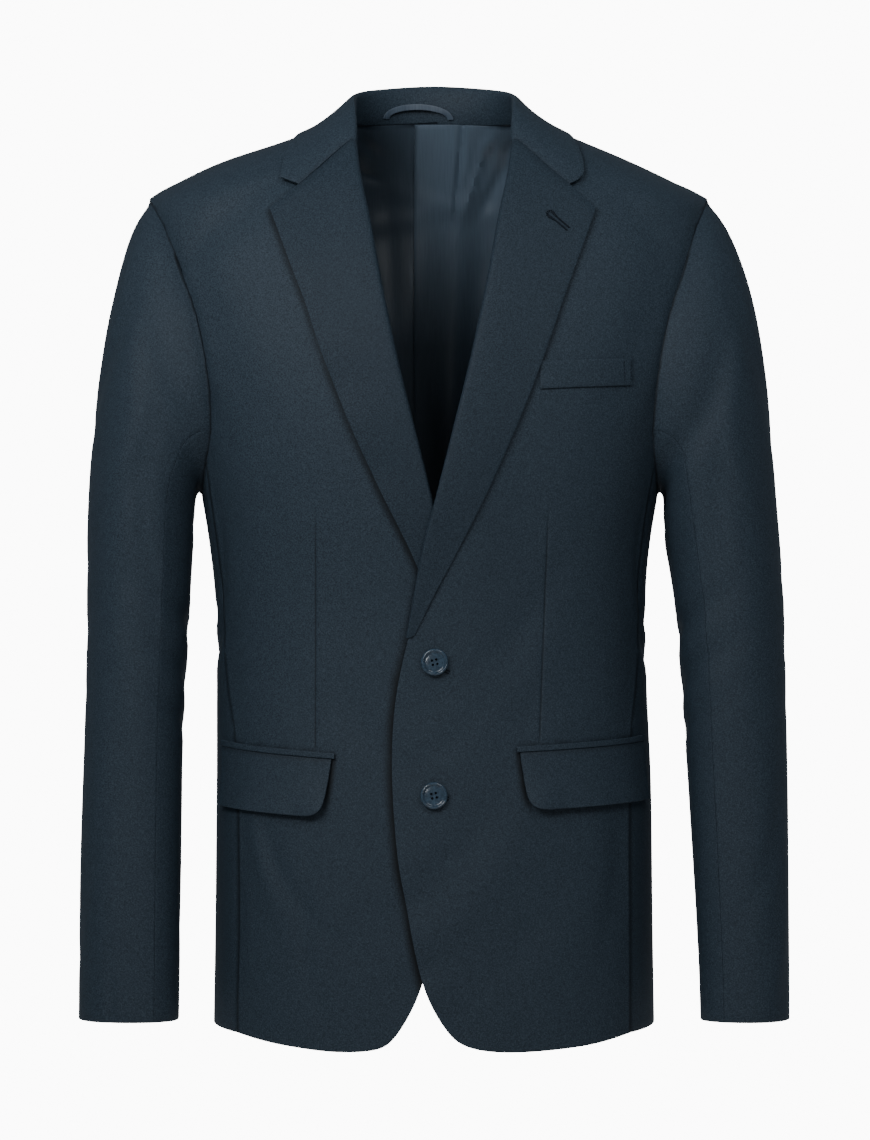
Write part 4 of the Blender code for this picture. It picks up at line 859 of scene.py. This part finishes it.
def turned_button(name):
    """Turned button with a raised rim and four bored holes, in the place of its solid."""
    body = bmesh.new()
    verts = [body.verts.new((radius * MM, 0.0, rise * MM)) for radius, rise in BUTTON_PROFILE]
    edges = [body.edges.new(pair) for pair in zip(verts[:-1], verts[1:])]
    bmesh.ops.spin(body, geom=verts + edges, cent=(0, 0, 0), axis=(0, 0, 1), angle=math.tau,
                   steps=BUTTON_STEPS, use_merge=True)
    bmesh.ops.remove_doubles(body, verts=body.verts, dist=1e-6)
    bmesh.ops.recalc_face_normals(body, faces=body.faces)
    blank = put(body, name + "_blank")
    drill = bmesh.new()
    for x, y in HOLE_PLACES:
        made = bmesh.ops.create_cone(drill, cap_ends=True, segments=16, radius1=HOLE_RADIUS * MM,
                                     radius2=HOLE_RADIUS * MM, depth=20.0 * MM)
        spot = Vector((x, y, 0.0)) * HOLE_APART * MM
        bmesh.ops.translate(drill, verts=made["verts"], vec=Matrix.Rotation(HOLE_TURN, 3, "Z") @ spot)
    bits = put(drill, name + "_bits")
    holder = bpy.data.objects.new(name + "_blank", blank)
    cutter = bpy.data.objects.new(name + "_bits", bits)
    for thing in (holder, cutter):
        bpy.context.scene.collection.objects.link(thing)
    bore = holder.modifiers.new("bore", "BOOLEAN")
    bore.operation = "DIFFERENCE"
    bore.solver = "EXACT"
    bore.object = cutter
    bored = bpy.data.meshes.new_from_object(holder.evaluated_get(bpy.context.evaluated_depsgraph_get()))
    for thing in (holder, cutter):
        bpy.data.objects.remove(thing, do_unlink=True)
    body = bmesh.new()
    body.from_mesh(bored)
    mesh = put(body, name + "_turned", facing_of(name))
    piece = show(mesh, name + "_turned", RESIN)
    mesh.set_sharp_from_angle(angle=math.radians(40.0))
    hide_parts(name)


def unit_strand():
    """A thread strand one metre long and one metre in radius, thinner to its ends."""
    body = bmesh.new()
    bmesh.ops.create_cone(body, cap_ends=True, segments=6, radius1=STRAND_END, radius2=STRAND_END,
                          depth=1.0)
    for level, radius in STRAND_SHAPE:
        geom = body.verts[:] + body.edges[:] + body.faces[:]
        bmesh.ops.bisect_plane(body, geom=geom, plane_co=(0, 0, level), plane_no=(0, 0, 1))
        for vert in body.verts:
            if abs(vert.co.z - level) < 0.01:
                vert.co.x *= radius / STRAND_END
                vert.co.y *= radius / STRAND_END
    return put(body, "unit_strand")


STRAND_MESH = unit_strand()


def strand(body, start, end, radius, rise=Vector()):
    """Adds one strand of thread to a body, from point to point in millimetres, humped by its rise."""
    start, end = Vector(start), Vector(end)
    run = end - start
    held = len(body.verts)
    body.from_mesh(STRAND_MESH)
    body.verts.ensure_lookup_table()
    turn = run.to_track_quat("Z", "Y").to_matrix()
    for vert in body.verts[held:]:
        share = vert.co.z
        spot = turn @ Vector((vert.co.x * radius, vert.co.y * radius, share * run.length))
        vert.co = (spot + 0.5 * (start + end) + rise * (1.0 - 4.0 * share ** 2)) * MM


def button_thread(name):
    """Thread down in the four holes, and the shank behind the button."""
    body = bmesh.new()
    turn = Matrix.Rotation(HOLE_TURN, 3, "Z")
    for x, y in HOLE_PLACES:
        for ply in (-0.25, 0.25):
            spot = turn @ Vector((x * HOLE_APART + ply, y * HOLE_APART, 0.0))
            strand(body, spot, spot + Vector((0.0, 0.0, 1.5)), STRAND_HALF)
    strand(body, (0.0, 0.0, -0.9), (0.0, 0.0, 0.3), SHANK_HALF)
    bmesh.ops.recalc_face_normals(body, faces=body.faces)
    show(put(body, name + "_thread", facing_of(name)), name + "_thread", THREAD)


for name in ("button_upper", "button_lower"):
    turned_button(name)
    button_thread(name)


# ---------------------------------------------------------------- hand sewing
# Buttonhole stitches: how far apart, half their thickness, how far they stand off the cloth and rise
# in the middle, where their inner ends lie in the half width, and how many fan round the end.
WORKED_APART = 0.62
WORKED_HALF = 0.3
WORKED_OFF = 0.16
WORKED_RISE = 0.22
WORKED_INNER = 0.28
FAN_INNER = 0.35
FAN_COUNT = 7
# Machine stitches: half their thickness, how far they stand off the cloth and rise in the middle.
STITCH_HALF = 0.17
STITCH_OFF = 0.05
STITCH_RISE = 0.16


def stitch(body, tree, ends, radius, off, rise):
    """Adds a stitch between two spots of a cloth, given by x and height, where it has cloth."""
    places = []
    for x, height in ends:
        place, normal = tree.ray_cast(Vector((x, -400.0, height)), Vector((0.0, 1.0, 0.0)))[:2]
        if place is None:
            return
        places.append(place + normal * off)
    strand(body, places[0], places[1], radius, normal * rise)


def sewing(body, name, material):
    bmesh.ops.recalc_face_normals(body, faces=body.faces)
    show(put(body, name), name, material)


def buttonhole(name, piece, start, end, wide, flare):
    """Worked buttonhole: a slit between two rows of buttonhole stitches, with a fan at one end."""
    tree = tree_of(piece.data)
    body = bmesh.new()
    start, end = np.array(start, dtype=float), np.array(end, dtype=float)
    run = end - start
    length = float(np.linalg.norm(run))
    run /= length
    square = np.array((-run[1], run[0]))
    count = int(length / WORKED_APART)
    for step in range(count + 1):
        share = step / count
        spot = start + run * length * share
        spread = 0.5 * wide * (1.0 + flare * max(0.0, 1.0 - share * 3.0))
        for side in (-1.0, 1.0):
            ends = spot + square * side * spread * WORKED_INNER, spot + square * side * spread
            stitch(body, tree, ends, WORKED_HALF, WORKED_OFF, WORKED_RISE)
    for step in range(FAN_COUNT):
        angle = math.pi * (step / (FAN_COUNT - 1) - 0.5)
        way = (-run * math.cos(angle) + square * math.sin(angle)) * 0.5 * wide * (1.0 + flare)
        ends = start + way * FAN_INNER, start + way
        stitch(body, tree, ends, WORKED_HALF, WORKED_OFF, WORKED_RISE)
    sewing(body, name, HOLE_THREAD)


def stitch_row(name, piece, start, end, long, gap):
    """A straight row of machine stitches on a cloth."""
    tree = tree_of(piece.data)
    body = bmesh.new()
    start, end = np.array(start, dtype=float), np.array(end, dtype=float)
    length = float(np.linalg.norm(end - start))
    run = (end - start) / length
    for step in range(int(length / (long + gap))):
        near = start + run * step * (long + gap)
        stitch(body, tree, (near, near + run * long), STITCH_HALF, STITCH_OFF, STITCH_RISE)
    sewing(body, name, THREAD)


buttonhole("buttonhole_lapel", pieces["lapel_left"], (93.0, -74.5), (107.0, -86.5), 4.4, 0.7)
buttonhole("buttonhole_upper", pieces["front_left"], (-6.0, -434.0), (12.0, -440.0), 3.0, 0.3)
buttonhole("buttonhole_lower", pieces["front_left"], (-6.5, -538.5), (11.5, -540.0), 3.0, 0.3)
stitch_row("welt_stitches_outer", pieces["breast_welt"], (157.2, -191.6), (157.6, -210.0), 2.2, 0.6)
stitch_row("welt_stitches_inner", pieces["breast_welt"], (151.6, -191.9), (152.0, -210.4), 2.2, 0.6)


# ---------------------------------------------------------------- stage, light and camera
# Sizes and places here are in metres. The paper of the floor glows, for the camera alone.
FLOOR_RADIUS = 1.25
FLOOR_AT = -1.0
FLOOR_GLOW = 3.0
# Lamps: name, place, what it points at, size, watts, spread in degrees, and whether it shows as a
# highlight on the cloth and the buttons.
LAMPS = (
    ("key", (0.7, -1.8, 1.15), (0.0, 0.0, 0.1), 0.9, 3.6, 100.0, True),
    ("front", (-0.52, -1.6, 0.42), (0.0, 0.0, 0.08), 0.5, 2.4, 100.0, True),
    ("catch", (0.55, -2.4, -0.72), (0.0, 0.0, -0.43), 0.3, 0.5, 60.0, True),
    ("fill", (-1.15, -1.6, 0.75), (0.0, 0.0, 0.1), 0.9, 5.2, 100.0, True),
    ("back_left", (0.9, 2.3, -0.1), (0.0, 0.0, -0.35), 1.0, 20.0, 180.0, False),
    ("back_right", (-0.9, 2.3, 0.0), (0.0, 0.0, -0.35), 1.0, 13.0, 180.0, False),
    ("side_left", (2.4, 0.2, 1.3), (0.0, 0.0, -0.1), 1.0, 12.0, 180.0, False),
    ("side_right", (-2.4, 0.4, 1.1), (0.0, 0.0, -0.1), 1.0, 6.0, 180.0, False),
)
AMBIENT = 0.15
PAPER_BRIGHT = 11.0
CAMERA_AWAY = 3.5
FRAME_TALL = 0.9348
FILM = 36.0


def floor():
    disc = bmesh.new()
    bmesh.ops.create_circle(disc, cap_ends=True, segments=96, radius=FLOOR_RADIUS)
    bmesh.ops.translate(disc, verts=disc.verts, vec=(0.0, 0.0, FLOOR_AT))
    mesh = bpy.data.meshes.new("floor")
    disc.to_mesh(mesh)
    disc.free()
    plate = bpy.data.objects.new("floor", mesh)
    bpy.context.scene.collection.objects.link(plate)
    material, tree, shader = new_material("floor_paper")
    shader.inputs["Base Color"].default_value = linear("#e9e9e8")
    shader.inputs["Roughness"].default_value = 0.9
    # The paper is lit from below for the camera alone, so it stays pale and throws no light up.
    shader.inputs["Emission Color"].default_value = linear("#ffffff")
    seen_by = add(tree, "ShaderNodeLightPath")
    glow = add(tree, "ShaderNodeMath", {1: seen_by.outputs["Is Camera Ray"]}, operation="MULTIPLY",
               Value=FLOOR_GLOW)
    tree.links.new(glow.outputs[0], shader.inputs["Emission Strength"])
    mesh.materials.append(material)


def area_light(name, at, toward, size, watts, spread, shines):
    """Round soft lamp."""
    lamp = bpy.data.lights.new(name, "AREA")
    lamp.shape = "DISK"
    lamp.size = size
    lamp.energy = watts
    lamp.spread = math.radians(spread)
    holder = bpy.data.objects.new(name, lamp)
    holder.location = at
    holder.rotation_euler = (Vector(toward) - Vector(at)).to_track_quat("-Z", "Y").to_euler()
    holder.visible_glossy = shines
    bpy.context.scene.collection.objects.link(holder)
    return holder


floor()
lamps = {row[0]: area_light(*row) for row in LAMPS}
# The low lamp in front gives a highlight and no other light.
lamps["catch"].visible_diffuse = False
world = bpy.data.worlds.new("studio")
bpy.context.scene.world = world
world.use_nodes = True
sky = world.node_tree
sky.nodes.clear()
ambient = add(sky, "ShaderNodeBackground", Strength=AMBIENT)
ambient.inputs["Color"].default_value = linear("#f4f6f8")
paper = add(sky, "ShaderNodeBackground", Strength=PAPER_BRIGHT)
paper.inputs["Color"].default_value = linear("#ffffff")
seen = add(sky, "ShaderNodeLightPath")
both = add(sky, "ShaderNodeMixShader", {0: seen.outputs["Is Camera Ray"], 1: ambient.outputs[0],
                                        2: paper.outputs[0]})
add(sky, "ShaderNodeOutputWorld", {"Surface": both.outputs[0]})

lens = bpy.data.cameras.new("camera")
lens.sensor_width = FILM
lens.lens = FILM * CAMERA_AWAY / FRAME_TALL
camera = bpy.data.objects.new("camera", lens)
camera.location = (0.0008, -CAMERA_AWAY, -0.359)
camera.rotation_euler = (math.radians(90.0), 0.0, 0.0)
bpy.context.scene.collection.objects.link(camera)
bpy.context.scene.camera = camera
